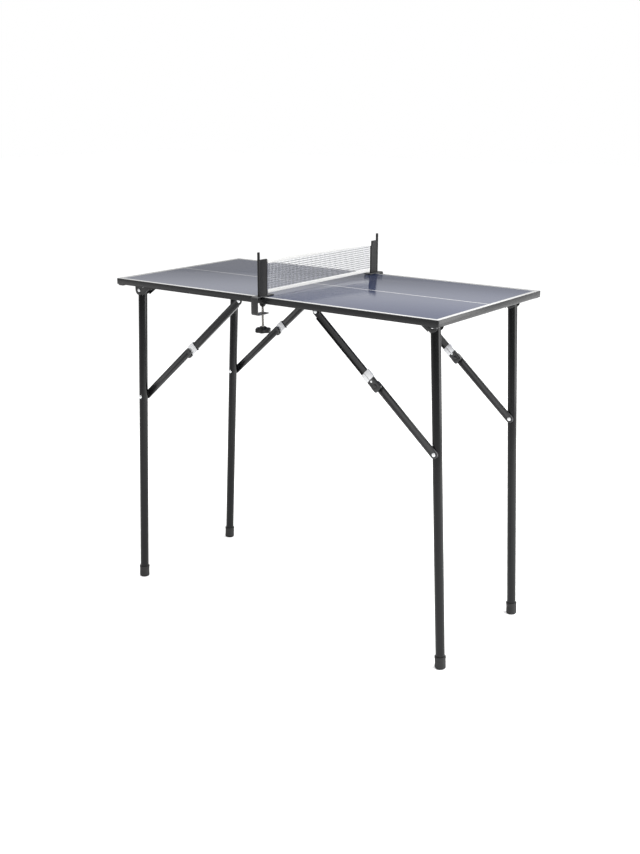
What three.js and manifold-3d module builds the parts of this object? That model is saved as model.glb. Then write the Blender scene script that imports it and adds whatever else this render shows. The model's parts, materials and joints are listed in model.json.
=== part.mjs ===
// A small folding ping pong table: a framed blue board on four splayed tube legs.
// Each leg folds under the board on its own jointed brace, and a clamp-on net stands at mid length.
// Millimetres, +Z up, X along the board, origin on the floor under the middle of the board.
import * as THREE from 'three';
import { mergeVertices } from 'three/addons/utils/BufferGeometryUtils.js';
import Module from 'manifold-3d';

const wasm = await Module();
wasm.setup();

// ---- Driving dimensions ----
const TABLE_LENGTH = 900;
const TABLE_WIDTH = 450;
const TABLE_HEIGHT = 790;
const PANEL_THICKNESS = 12;

const RAIL_WALL = 2;
const RAIL_DROP = 2;
const RAIL_FLANGE = 14;
const CORNER_LUG_LENGTH = 14;
const CORNER_LUG_DEPTH = 2.5;
const CORNER_LUG_INSET = 5;

const LEG_DIAMETER = 21.5;
const LEG_WALL = 1.3;
const LEG_END_INSET = 50;
const LEG_SPREAD = 40;
const OUTER_LEG_INSET = 36;
const LEG_TOP_ABOVE_PIN = 5.5;

const CAP_WALL = 1.5;
const CAP_RIM = 0.6;
const CAP_RIM_HEIGHT = 4;
const CAP_HEIGHT = 29;
const CAP_FLOOR = 6;
const CAP_EDGE_RADIUS = 3;

const RAIL_PIVOT_REACH = 290;
const LEG_PIVOT_REACH = 270;
const UPPER_BRACE_WIDTH = 18;
const UPPER_BRACE_DEPTH = 6;
const UPPER_BRACE_WALL = 1.5;
const UPPER_BRACE_FLANGE_START = 12;
const COLLAR_STEP = 1.25;
const COLLAR_LENGTH = 24;
const FLARE_STEP = 2;
const FLARE_TAPER = 5;
const FLARE_PAST_KNEE = 13;
const FLARE_CHAMFER = 3;
const LOWER_BRACE_WIDTH = 18;
const LOWER_BRACE_DEPTH = 4;
const PLANE_SPACING = 2.2;

const RING_LENGTH = 20;
const RING_WALL_WIDE = 1.4;
const RING_WALL_THIN = 1.2;
const RING_FROM_KNEE = 16;
const FRONT_RING_RAISED = 10.5;
const BACK_RING_RAISED = 7.5;

const BRACKET_PLATE = 2;
const CHEEK_THICKNESS = 1.5;
const GUSSET_REACH = 62;
const BRACE_TAB_WIDTH = 12;
const BRACE_FOOT_LENGTH = 30;
const BRACE_FOOT_WIDTH = 20;

const RIVET_RADIUS = 3;
const RIVET_HEAD_RADIUS = 5;
const RIVET_HEAD = 1.2;
const PIN_HEAD = 1.5;

const NET_HEIGHT = 74;
const NET_LIFT = 6;
const NET_THICKNESS = 1.6;
const POST_RADIUS = 3;
const POST_HEIGHT = 98;
const POST_OUTSIDE_EDGE = 5;
const FLAG_WIDTH = 30;
const FLAG_THICKNESS = 4;
const CLAMP_WIDTH = 18;
const CLAMP_STRIP = 3;
const CLAMP_OUTSIDE_EDGE = 22;
const CLAMP_TOP_REACH = 36;
const CLAMP_LOWER_REACH = 17;
const CLAMP_OPENING = 35;
const SCREW_RADIUS = 3;
const SCREW_INSIDE_EDGE = 7;
const PAD_RADIUS = 7;
const PAD_HEIGHT = 6.7;
const PAD_SOCKET = 4;
const KNOB_RADIUS = 18;
const KNOB_HEIGHT = 13;
const KNOB_HUB_RADIUS = 9;
const KNOB_HUB_HEIGHT = 3.5;
const KNOB_LOBES = 6;
const KNOB_LOBE_DEPTH = 3;
const KNOB_SOCKET = 9;
const KNOB_BELOW_CLAMP = 28;

// ---- Named clearances ----
const TOUCH_GAP = 0.3;
const BORE_CLEARANCE = 0.3;
const LEG_SIDE_CLEARANCE = 0.7;
const BRACE_CLEARANCE = 1;
const RING_CLEARANCE = 0.4;
const PASSING_CLEARANCE = 1.6;
const FOLD_CLEARANCE = 2.1;

// ---- Sizes that follow from them ----
const legRadius = LEG_DIAMETER / 2;
const upperHalf = UPPER_BRACE_WIDTH / 2;
const collarHalf = upperHalf + COLLAR_STEP;
const flareHalf = upperHalf + FLARE_STEP;
const undersideZ = TABLE_HEIGHT - PANEL_THICKNESS;
const railBottomZ = undersideZ - RAIL_DROP;
const plateTopZ = undersideZ - TOUCH_GAP;
const capInnerRadius = legRadius + TOUCH_GAP;
const capRadius = capInnerRadius + CAP_WALL;
const capRimRadius = capRadius + CAP_RIM;
const boreRadius = RIVET_RADIUS + BORE_CLEARANCE;

// Hinge line of the legs, and the brace triangle in the vertical plane of one leg.
const hingeX = TABLE_LENGTH / 2 - LEG_END_INSET;
const hingeZ = undersideZ - capRimRadius - FOLD_CLEARANCE;
const splay = Math.atan(LEG_SPREAD / hingeZ);
const legLength = hingeZ / Math.cos(splay);
const railPivotX = hingeX - RAIL_PIVOT_REACH;
const legPivotX = hingeX + LEG_PIVOT_REACH * Math.sin(splay);
const legPivotZ = hingeZ - LEG_PIVOT_REACH * Math.cos(splay);
const braceSpan = Math.hypot(legPivotX - railPivotX, hingeZ - legPivotZ);
const braceSlope = Math.atan2(hingeZ - legPivotZ, legPivotX - railPivotX);
// The two halves fold flat under the board when they differ by what the two reaches differ by.
const upperLength = (braceSpan + RAIL_PIVOT_REACH - LEG_PIVOT_REACH) / 2;
const lowerLength = (braceSpan - RAIL_PIVOT_REACH + LEG_PIVOT_REACH) / 2;
const kneeX = railPivotX + upperLength * Math.cos(braceSlope);
const kneeZ = hingeZ - upperLength * Math.sin(braceSlope);

// Depths beside the leg, counted from the leg's axis toward its brace (all on the -Y side).
const lowerNearY = -(legRadius + BRACE_CLEARANCE);
const lowerFarY = lowerNearY - LOWER_BRACE_DEPTH;
const upperNearY = lowerFarY - PLANE_SPACING;
const upperFarY = upperNearY - UPPER_BRACE_DEPTH;
const webFarY = upperNearY - UPPER_BRACE_WALL;
const ringFarY = upperFarY - RING_CLEARANCE - RING_WALL_THIN;
// Folded legs of one side pass each other with the braces between them.
const innerLegInset = OUTER_LEG_INSET - ringFarY + legRadius + PASSING_CLEARANCE;

// ---- Materials ----
function blackPaint() {
  return new THREE.MeshStandardMaterial({ color: 0x1b1c1e, roughness: 0.32, metalness: 0.2 });
}

function blackPlastic() {
  return new THREE.MeshStandardMaterial({ color: 0x151516, roughness: 0.55, metalness: 0 });
}

function blackRubber() {
  return new THREE.MeshStandardMaterial({ color: 0x121212, roughness: 0.85, metalness: 0 });
}

function bluePanel() {
  return new THREE.MeshStandardMaterial({ color: 0x27386b, roughness: 0.25, metalness: 0 });
}

function brightSteel() {
  return new THREE.MeshStandardMaterial({ color: 0xc9ccd0, roughness: 0.35, metalness: 0.9 });
}

function netFabric() {
  return new THREE.MeshStandardMaterial({ color: 0x3a3d42, roughness: 0.9, metalness: 0 });
}

// ---- Shape helpers ----
const FINE_SIDES = 12;
const ROUND_SIDES = 20;

function facingOut(geometry) {
  const bare = geometry.clone();
  bare.deleteAttribute('normal');
  bare.deleteAttribute('uv');
  const merged = mergeVertices(bare, 1e-4);
  const place = merged.attributes.position;
  const index = merged.index.array;
  const [a, b, c] = [new THREE.Vector3(), new THREE.Vector3(), new THREE.Vector3()];
  let volume = 0;
  for (let i = 0; i < index.length; i += 3) {
    a.fromBufferAttribute(place, index[i]);
    b.fromBufferAttribute(place, index[i + 1]);
    c.fromBufferAttribute(place, index[i + 2]);
    volume += a.dot(b.cross(c));
  }
  if (volume < 0) {
    for (let i = 0; i < index.length; i += 3) {
      [index[i], index[i + 1]] = [index[i + 1], index[i]];
    }
  }
  return merged;
}

function toSolid(geometry) {
  const closed = facingOut(geometry);
  return new wasm.Manifold(new wasm.Mesh({
    numProp: 3,
    vertProperties: new Float32Array(closed.attributes.position.array),
    triVerts: new Uint32Array(closed.index.array),
  }));
}

function toGeometry(solid) {
  const mesh = solid.getMesh();
  const geometry = new THREE.BufferGeometry();
  geometry.setAttribute('position', new THREE.BufferAttribute(mesh.vertProperties, 3));
  geometry.setIndex(new THREE.BufferAttribute(mesh.triVerts, 1));
  return geometry;
}

function join(first, ...others) {
  return others.reduce((sum, next) => sum.add(next), first);
}

function cut(first, ...others) {
  return others.reduce((rest, next) => rest.subtract(next), first);
}

function block(x0, x1, y0, y1, z0, z1) {
  const geometry = new THREE.BoxGeometry(x1 - x0, y1 - y0, z1 - z0);
  return geometry.translate((x0 + x1) / 2, (y0 + y1) / 2, (z0 + z1) / 2);
}

// A turned piece about the Y axis, from [radius, y] pairs.
function turned(profile, segments) {
  const points = profile.map(([radius, y]) => new THREE.Vector2(radius, y));
  return facingOut(new THREE.LatheGeometry(points, segments));
}

// The same about the Z axis, from [radius, z] pairs.
function turnedUpright(profile, segments) {
  return facingOut(turned(profile, segments).rotateX(Math.PI / 2));
}

function rodAlongY(x, z, radius, y0, y1) {
  return turned([[0, y0], [radius, y0], [radius, y1], [0, y1]], FINE_SIDES).translate(x, 0, z);
}

function rodAlongZ(x, y, radius, z0, z1) {
  return turnedUpright([[0, z0], [radius, z0], [radius, z1], [0, z1]], FINE_SIDES).translate(x, y, 0);
}

// A plate lying in the XZ plane, from y0 toward +Y.
function plate(shape, y0, thickness) {
  const curveSegments = 6;
  const geometry = new THREE.ExtrudeGeometry(shape, { depth: thickness, bevelEnabled: false, curveSegments });
  return geometry.rotateX(Math.PI / 2).translate(0, y0 + thickness, 0);
}

function rectangle(x0, x1, z0, z1) {
  const shape = new THREE.Shape();
  shape.moveTo(x0, z0);
  shape.lineTo(x1, z0);
  shape.lineTo(x1, z1);
  shape.lineTo(x0, z1);
  shape.closePath();
  return shape;
}

// A bar outline with one round end about each pivot.
function barOutline(length, radius) {
  const shape = new THREE.Shape();
  shape.absarc(0, 0, radius, Math.PI / 2, Math.PI * 1.5, false);
  shape.absarc(length, 0, radius, -Math.PI / 2, Math.PI / 2, false);
  shape.closePath();
  return shape;
}

function piece(group, name, geometry, material) {
  const mesh = new THREE.Mesh(facingOut(geometry), material);
  mesh.name = name;
  group.add(mesh);
  return mesh;
}

// ---- Board ----
function boardPanel() {
  const halfLength = TABLE_LENGTH / 2 - RAIL_WALL - TOUCH_GAP;
  const halfWidth = TABLE_WIDTH / 2 - RAIL_WALL - TOUCH_GAP;
  return block(-halfLength, halfLength, -halfWidth, halfWidth, undersideZ, TABLE_HEIGHT);
}

// Long edge rail in the place of the front edge: an angle with a lug under each corner.
function longRail() {
  const halfLength = TABLE_LENGTH / 2;
  const outerY = -TABLE_WIDTH / 2;
  const flangeTopZ = undersideZ - TOUCH_GAP;
  const lugEnd = halfLength - CORNER_LUG_INSET;
  const innerY = outerY + RAIL_FLANGE;
  const wall = toSolid(block(-halfLength, halfLength, outerY, outerY + RAIL_WALL, railBottomZ, TABLE_HEIGHT));
  const flange = toSolid(block(-halfLength, halfLength, outerY, innerY, railBottomZ, flangeTopZ));
  const lugs = [-1, 1].map((end) => {
    const [x0, x1] = [end * lugEnd, end * (lugEnd - CORNER_LUG_LENGTH)].sort((a, b) => a - b);
    return toSolid(block(x0, x1, outerY, innerY, railBottomZ - CORNER_LUG_DEPTH, flangeTopZ));
  });
  return toGeometry(join(wall, flange, ...lugs));
}

// Short edge rail in the place of the right edge, between the two long rails.
function shortRail() {
  const outerX = TABLE_LENGTH / 2;
  const wallEnd = TABLE_WIDTH / 2 - RAIL_WALL - TOUCH_GAP;
  const flangeEnd = TABLE_WIDTH / 2 - RAIL_FLANGE - TOUCH_GAP;
  const flangeTopZ = undersideZ - TOUCH_GAP;
  const wall = toSolid(block(outerX - RAIL_WALL, outerX, -flangeEnd, flangeEnd, railBottomZ, TABLE_HEIGHT));
  const flange = toSolid(block(outerX - RAIL_FLANGE, outerX, -flangeEnd, flangeEnd, railBottomZ, flangeTopZ));
  const upperWall = toSolid(block(outerX - RAIL_WALL, outerX, -wallEnd, wallEnd, undersideZ, TABLE_HEIGHT));
  return toGeometry(join(wall, flange, upperWall));
}

// ---- One leg, in its hinge frame: pin at the origin, tube down along -Z ----
function legTube() {
  const bottom = CAP_FLOOR + TOUCH_GAP - legLength;
  const inner = legRadius - LEG_WALL;
  const tube = toSolid(turnedUpright([
    [inner, bottom], [legRadius, bottom], [legRadius, LEG_TOP_ABOVE_PIN],
    [inner, LEG_TOP_ABOVE_PIN], [inner, bottom],
  ], ROUND_SIDES));
  const bores = [0, -LEG_PIVOT_REACH].map((z) => toSolid(
    rodAlongY(0, z, boreRadius, -LEG_DIAMETER, LEG_DIAMETER)));
  return toGeometry(cut(tube, ...bores));
}

// Rubber cup on the tube's end, already leaned with the leg and cut level with the floor.
function footCap() {
  const bottom = -legLength;
  const overrun = capRimRadius * Math.tan(splay) + 1;
  const rimZ = bottom + CAP_HEIGHT - CAP_RIM_HEIGHT;
  const profile = [
    [0, bottom - overrun], [capRadius - CAP_EDGE_RADIUS, bottom - overrun],
    [capRadius - CAP_EDGE_RADIUS, bottom],
    [capRadius - CAP_EDGE_RADIUS * 0.3, bottom + CAP_EDGE_RADIUS * 0.3],
    [capRadius, bottom + CAP_EDGE_RADIUS],
    [capRadius, rimZ], [capRimRadius, rimZ + CAP_RIM], [capRimRadius, bottom + CAP_HEIGHT],
    [capInnerRadius, bottom + CAP_HEIGHT], [capInnerRadius, bottom + CAP_FLOOR],
    [0, bottom + CAP_FLOOR],
  ];
  const cup = toSolid(turnedUpright(profile, ROUND_SIDES).rotateY(-splay).translate(hingeX, 0, hingeZ));
  const footX = hingeX + LEG_SPREAD;
  const floorReach = CAP_HEIGHT * 2;
  const floor = block(footX - floorReach, footX + floorReach, -floorReach, floorReach, -floorReach, 0);
  return toGeometry(cut(cup, toSolid(floor)));
}

// Rivet through the leg, head on the side away from the brace.
function legRivet() {
  const headY = legRadius + TOUCH_GAP;
  const endY = lowerNearY + TOUCH_GAP;
  const domeY = headY + RIVET_HEAD;
  return turned([
    [0, endY], [RIVET_RADIUS, endY], [RIVET_RADIUS, headY], [RIVET_HEAD_RADIUS, headY],
    [RIVET_HEAD_RADIUS * 0.85, domeY], [0, domeY + RIVET_HEAD * 0.4],
  ], FINE_SIDES).translate(0, 0, -LEG_PIVOT_REACH);
}

// ---- Leg hinge: a U bracket whose cheeks run inboard as gussets ----
function legHingeBracket() {
  const innerY = legRadius + LEG_SIDE_CLEARANCE;
  const outerY = innerY + CHEEK_THICKNESS;
  const top = plateTopZ - hingeZ;
  const cheek = new THREE.Shape();
  cheek.moveTo(-GUSSET_REACH, top);
  cheek.lineTo(-GUSSET_REACH, top - BRACKET_PLATE - CHEEK_THICKNESS);
  cheek.lineTo(-GUSSET_REACH / 2, top - legRadius - BRACKET_PLATE);
  cheek.lineTo(-legRadius, -legRadius - PIN_HEAD);
  cheek.absarc(0, 0, legRadius + PIN_HEAD, Math.PI * 1.25, Math.PI * 2, false);
  cheek.lineTo(legRadius + PIN_HEAD, top);
  cheek.closePath();
  const cheeks = [-outerY, innerY].map((y0) => toSolid(plate(cheek, y0, CHEEK_THICKNESS)));
  const roof = toSolid(block(-GUSSET_REACH, legRadius + PIN_HEAD, -outerY, outerY, top - BRACKET_PLATE, top));
  const bore = toSolid(rodAlongY(0, 0, boreRadius, -outerY - 1, outerY + 1));
  return toGeometry(cut(join(roof, ...cheeks), bore));
}

function legHingePin() {
  const seatY = legRadius + LEG_SIDE_CLEARANCE + CHEEK_THICKNESS + TOUCH_GAP;
  const headY = seatY + PIN_HEAD;
  return turned([
    [0, -headY], [RIVET_HEAD_RADIUS, -headY], [RIVET_HEAD_RADIUS, -seatY], [RIVET_RADIUS, -seatY],
    [RIVET_RADIUS, seatY], [RIVET_HEAD_RADIUS, seatY], [RIVET_HEAD_RADIUS, headY], [0, headY],
  ], FINE_SIDES);
}

// ---- Brace, in its own frame: first pivot at the origin, X along the bar ----
// Upper half: an open channel that ends in a boxed collar and a flare round the knee.
function upperBrace() {
  const collarStart = upperLength - COLLAR_LENGTH;
  const flareEnd = upperLength + FLARE_PAST_KNEE;
  const flangeEnd = collarStart + UPPER_BRACE_WALL;
  const web = toSolid(plate(barOutline(upperLength, upperHalf), webFarY, UPPER_BRACE_WALL));
  const flanges = [-upperHalf, upperHalf - UPPER_BRACE_WALL].map((z0) => toSolid(
    block(UPPER_BRACE_FLANGE_START, flangeEnd, upperFarY, upperNearY, z0, z0 + UPPER_BRACE_WALL)));
  const collar = toSolid(block(collarStart, upperLength, upperFarY, upperNearY, -collarHalf, collarHalf));
  const hollowEnd = upperLength - FLARE_TAPER * 2;
  const hollowHalf = collarHalf - UPPER_BRACE_WALL;
  const collarInside = toSolid(
    block(collarStart - 1, hollowEnd, upperFarY + UPPER_BRACE_WALL, webFarY, -hollowHalf, hollowHalf));
  const outline = new THREE.Shape();
  const flareSide = [
    [upperLength - FLARE_TAPER, collarHalf], [upperLength, flareHalf], [flareEnd - FLARE_CHAMFER, flareHalf],
    [flareEnd, flareHalf - FLARE_CHAMFER],
  ];
  outline.moveTo(upperLength - FLARE_TAPER, -collarHalf);
  flareSide.slice(1).forEach(([x, z]) => outline.lineTo(x, -z));
  flareSide.reverse().forEach(([x, z]) => outline.lineTo(x, z));
  outline.closePath();
  const flare = toSolid(plate(outline, upperFarY, UPPER_BRACE_DEPTH));
  const bores = [0, upperLength].map((x) => toSolid(
    rodAlongY(x, 0, boreRadius, upperFarY - 1, upperNearY + 1)));
  return toGeometry(cut(join(cut(collar, collarInside), web, flare, ...flanges), ...bores));
}

// Lower half: a plain flat bar between the knee and the leg.
function lowerBrace() {
  const bar = toSolid(plate(barOutline(lowerLength, LOWER_BRACE_WIDTH / 2), lowerFarY, LOWER_BRACE_DEPTH));
  const bores = [0, lowerLength].map((x) => toSolid(
    rodAlongY(x, 0, boreRadius, lowerFarY - 1, lowerNearY + 1)));
  return toGeometry(cut(bar, ...bores));
}

// Knee rivet with a shoulder that keeps the two bars apart.
function kneeRivet() {
  const headY = upperFarY - TOUCH_GAP;
  const shoulderY = upperNearY + TOUCH_GAP;
  return turned([
    [0, headY - RIVET_HEAD], [RIVET_HEAD_RADIUS * 0.9, headY - RIVET_HEAD], [RIVET_HEAD_RADIUS * 0.9, headY],
    [RIVET_RADIUS, headY], [RIVET_RADIUS, shoulderY], [RIVET_HEAD_RADIUS, shoulderY],
    [RIVET_HEAD_RADIUS, lowerFarY - TOUCH_GAP], [RIVET_RADIUS, lowerFarY - TOUCH_GAP],
    [RIVET_RADIUS, lowerNearY - TOUCH_GAP], [0, lowerNearY - TOUCH_GAP],
  ], FINE_SIDES);
}

// Locking sleeve, centred on its place along the upper bar.
function lockRing() {
  const innerHalf = collarHalf + RING_CLEARANCE;
  const outerHalf = innerHalf + RING_WALL_WIDE;
  const farY = upperFarY - RING_CLEARANCE;
  const nearY = upperNearY + RING_CLEARANCE;
  const bevel = RING_WALL_THIN;
  const outline = new THREE.Shape();
  outline.moveTo(farY - RING_WALL_THIN, -outerHalf + bevel);
  outline.lineTo(farY - RING_WALL_THIN + bevel, -outerHalf);
  outline.lineTo(nearY + RING_WALL_THIN - bevel, -outerHalf);
  outline.lineTo(nearY + RING_WALL_THIN, -outerHalf + bevel);
  outline.lineTo(nearY + RING_WALL_THIN, outerHalf - bevel);
  outline.lineTo(nearY + RING_WALL_THIN - bevel, outerHalf);
  outline.lineTo(farY - RING_WALL_THIN + bevel, outerHalf);
  outline.lineTo(farY - RING_WALL_THIN, outerHalf - bevel);
  outline.closePath();
  outline.holes.push(rectangle(farY, nearY, -innerHalf, innerHalf));
  const sleeve = new THREE.ExtrudeGeometry(outline, { depth: RING_LENGTH, bevelEnabled: false });
  // Shape X becomes Y, shape Y becomes Z and the depth becomes X.
  const turn = new THREE.Matrix4().makeBasis(
    new THREE.Vector3(0, 1, 0), new THREE.Vector3(0, 0, 1), new THREE.Vector3(1, 0, 0));
  return sleeve.applyMatrix4(turn).translate(-RING_LENGTH / 2, 0, 0);
}

// ---- Brace bracket: a foot under the board and a tab inside the channel ----
function braceBracket() {
  const top = plateTopZ - hingeZ;
  const tabY = webFarY - TOUCH_GAP - BRACKET_PLATE;
  const outline = new THREE.Shape();
  outline.absarc(0, 0, BRACE_TAB_WIDTH / 2, Math.PI, Math.PI * 2, false);
  outline.lineTo(BRACE_TAB_WIDTH / 2, top);
  outline.lineTo(-BRACE_TAB_WIDTH / 2, top);
  outline.closePath();
  const tab = toSolid(plate(outline, tabY, BRACKET_PLATE));
  const foot = toSolid(block(-BRACE_FOOT_LENGTH / 2, BRACE_FOOT_LENGTH / 2,
    tabY, tabY + BRACE_FOOT_WIDTH, top - BRACKET_PLATE, top));
  const bore = toSolid(rodAlongY(0, 0, boreRadius, tabY - 1, tabY + BRACKET_PLATE + 1));
  return toGeometry(cut(join(foot, tab), bore));
}

function bracePin() {
  const farY = webFarY - TOUCH_GAP - BRACKET_PLATE - TOUCH_GAP;
  const nearY = upperNearY + TOUCH_GAP;
  return turned([
    [0, farY - RIVET_HEAD], [RIVET_HEAD_RADIUS, farY - RIVET_HEAD], [RIVET_HEAD_RADIUS, farY],
    [RIVET_RADIUS, farY], [RIVET_RADIUS, nearY], [RIVET_HEAD_RADIUS, nearY],
    [RIVET_HEAD_RADIUS * 0.8, nearY + RIVET_HEAD], [0, nearY + RIVET_HEAD],
  ], FINE_SIDES);
}

// ---- Net, posts and clamps (front clamp; the back one is the same piece turned round) ----
const flagOuterY = TABLE_WIDTH / 2 + POST_OUTSIDE_EDGE;
const flagInnerY = flagOuterY - FLAG_WIDTH;
const clampTopZ = TABLE_HEIGHT + TOUCH_GAP + CLAMP_STRIP;
const clampBottomTopZ = TABLE_HEIGHT - CLAMP_OPENING;
const clampBottomZ = clampBottomTopZ - CLAMP_STRIP;
const screwY = TABLE_WIDTH / 2 - SCREW_INSIDE_EDGE;
const padTopZ = railBottomZ - TOUCH_GAP;
const knobTopZ = clampBottomZ - KNOB_BELOW_CLAMP;

function netSheet() {
  const half = flagInnerY - TOUCH_GAP;
  const bottom = TABLE_HEIGHT + NET_LIFT;
  return block(-NET_THICKNESS / 2, NET_THICKNESS / 2, -half, half, bottom, bottom + NET_HEIGHT);
}

function netPost() {
  const flagBottom = clampTopZ + TOUCH_GAP;
  const flagTop = TABLE_HEIGHT + NET_LIFT + NET_HEIGHT + NET_THICKNESS;
  const rodBottom = clampTopZ - CLAMP_STRIP * 3;
  const half = FLAG_THICKNESS / 2;
  const rod = toSolid(rodAlongZ(0, -flagOuterY, POST_RADIUS, rodBottom, TABLE_HEIGHT + POST_HEIGHT));
  const flag = toSolid(block(-half, half, -flagOuterY, -flagInnerY, flagBottom, flagTop));
  return toGeometry(join(rod, flag));
}

function clampBracket() {
  const webOuterY = -TABLE_WIDTH / 2 - CLAMP_OUTSIDE_EDGE;
  const webInnerY = webOuterY + CLAMP_STRIP;
  const topEndY = -TABLE_WIDTH / 2 + CLAMP_TOP_REACH;
  const lowEndY = -TABLE_WIDTH / 2 + CLAMP_LOWER_REACH;
  const half = CLAMP_WIDTH / 2;
  const top = toSolid(block(-half, half, webOuterY, topEndY, clampTopZ - CLAMP_STRIP, clampTopZ));
  const web = toSolid(block(-half, half, webOuterY, webInnerY, clampBottomZ, clampTopZ));
  const low = toSolid(block(-half, half, webOuterY, lowEndY, clampBottomZ, clampBottomTopZ));
  const postBore = toSolid(
    rodAlongZ(0, -flagOuterY, POST_RADIUS + BORE_CLEARANCE, TABLE_HEIGHT - 1, clampTopZ + 1));
  const screwBore = toSolid(
    rodAlongZ(0, -screwY, SCREW_RADIUS + BORE_CLEARANCE, clampBottomZ - 1, clampBottomTopZ + 1));
  return toGeometry(cut(join(top, web, low), postBore, screwBore));
}

function clampScrew() {
  const top = padTopZ - PAD_HEIGHT + PAD_SOCKET - TOUCH_GAP;
  const bottom = knobTopZ - KNOB_SOCKET + TOUCH_GAP;
  return rodAlongZ(0, -screwY, SCREW_RADIUS, bottom, top);
}

function swivelPad() {
  const bottom = padTopZ - PAD_HEIGHT;
  const socket = SCREW_RADIUS + BORE_CLEARANCE;
  return turnedUpright([
    [0, bottom + PAD_SOCKET], [socket, bottom + PAD_SOCKET], [socket, bottom],
    [PAD_RADIUS * 0.75, bottom], [PAD_RADIUS, padTopZ - PAD_HEIGHT * 0.4],
    [PAD_RADIUS, padTopZ], [0, padTopZ],
  ], ROUND_SIDES).translate(0, -screwY, 0);
}

function starKnob() {
  const steps = KNOB_LOBES * 8;
  const points = Array.from({ length: steps }, (_, i) => {
    const turn = (i / steps) * Math.PI * 2;
    const radius = KNOB_RADIUS - KNOB_LOBE_DEPTH * (0.5 - 0.5 * Math.cos(KNOB_LOBES * turn));
    return new THREE.Vector2(radius * Math.cos(turn), radius * Math.sin(turn));
  });
  const lobedHeight = KNOB_HEIGHT - KNOB_HUB_HEIGHT;
  const shape = new THREE.Shape(points);
  const lobed = new THREE.ExtrudeGeometry(shape, { depth: lobedHeight, bevelEnabled: false });
  lobed.translate(0, -screwY, knobTopZ - KNOB_HEIGHT);
  const hubFoot = KNOB_HUB_RADIUS + KNOB_HUB_HEIGHT;
  const hubBottom = knobTopZ - KNOB_HEIGHT + 1;
  const hub = turnedUpright([
    [0, hubBottom], [hubFoot, hubBottom], [hubFoot, knobTopZ - KNOB_HUB_HEIGHT],
    [KNOB_HUB_RADIUS, knobTopZ], [0, knobTopZ],
  ], ROUND_SIDES).translate(0, -screwY, 0);
  const socket = rodAlongZ(
    0, -screwY, SCREW_RADIUS + BORE_CLEARANCE, knobTopZ - KNOB_SOCKET, knobTopZ + 1);
  return toGeometry(cut(join(toSolid(lobed), toSolid(hub)), toSolid(socket)));
}

// ---- Assembly ----
const table = new THREE.Group();

piece(table, 'tabletop_panel', boardPanel(), bluePanel());
for (const [side, turn] of [['front', 0], ['back', Math.PI]]) {
  piece(table, `edge_rail_${side}`, longRail(), blackPaint()).rotation.z = turn;
}
for (const [side, turn] of [['right', 0], ['left', Math.PI]]) {
  piece(table, `edge_rail_${side}`, shortRail(), blackPaint()).rotation.z = turn;
}

// One leg with its hinge, brace and sleeve. Every leg is the same set, either as it is or turned round.
function legSet(corner, legY, turn, ringOffset) {
  const set = new THREE.Group();
  set.position.y = legY;
  set.rotation.z = turn;

  const hinge = new THREE.Group();
  hinge.position.set(hingeX, 0, hingeZ);
  piece(hinge, `leg_hinge_bracket_${corner}`, legHingeBracket(), blackPaint());
  piece(hinge, `leg_hinge_pin_${corner}`, legHingePin(), brightSteel());
  set.add(hinge);

  const leg = new THREE.Group();
  leg.position.set(hingeX, 0, hingeZ);
  leg.rotation.y = -splay;
  piece(leg, `leg_tube_${corner}`, legTube(), blackPaint());
  piece(leg, `leg_rivet_${corner}`, legRivet(), brightSteel());
  set.add(leg);
  piece(set, `foot_cap_${corner}`, footCap(), blackRubber());

  const railPivot = new THREE.Group();
  railPivot.position.set(railPivotX, 0, hingeZ);
  piece(railPivot, `brace_bracket_${corner}`, braceBracket(), blackPaint());
  piece(railPivot, `brace_pin_${corner}`, bracePin(), brightSteel());
  set.add(railPivot);

  const upper = new THREE.Group();
  upper.position.set(railPivotX, 0, hingeZ);
  upper.rotation.y = braceSlope;
  piece(upper, `upper_brace_${corner}`, upperBrace(), blackPaint());
  piece(upper, `knee_rivet_${corner}`, kneeRivet(), brightSteel()).position.x = upperLength;
  const ringPlace = upperLength - RING_FROM_KNEE - ringOffset;
  piece(upper, `lock_ring_${corner}`, lockRing(), brightSteel()).position.x = ringPlace;
  set.add(upper);

  const lower = new THREE.Group();
  lower.position.set(kneeX, 0, kneeZ);
  lower.rotation.y = braceSlope;
  piece(lower, `lower_brace_${corner}`, lowerBrace(), blackPaint());
  set.add(lower);

  table.add(set);
}

const outerLegY = TABLE_WIDTH / 2 - OUTER_LEG_INSET;
const innerLegY = TABLE_WIDTH / 2 - innerLegInset;
legSet('front_right', -innerLegY, 0, FRONT_RING_RAISED);
legSet('back_right', outerLegY, 0, BACK_RING_RAISED);
legSet('front_left', -outerLegY, Math.PI, 0);
legSet('back_left', innerLegY, Math.PI, 0);

piece(table, 'net', netSheet(), netFabric());
for (const [side, turn] of [['front', 0], ['back', Math.PI]]) {
  const clamp = new THREE.Group();
  clamp.rotation.z = turn;
  piece(clamp, `net_post_${side}`, netPost(), blackPlastic());
  piece(clamp, `net_clamp_${side}`, clampBracket(), blackPaint());
  piece(clamp, `clamp_screw_${side}`, clampScrew(), brightSteel());
  piece(clamp, `clamp_pad_${side}`, swivelPad(), blackPlastic());
  piece(clamp, `clamp_knob_${side}`, starKnob(), blackPlastic());
  table.add(clamp);
}

export default table;
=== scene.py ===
import json
import math

import bmesh
import bpy
from mathutils import Matrix, Quaternion, Vector


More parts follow.
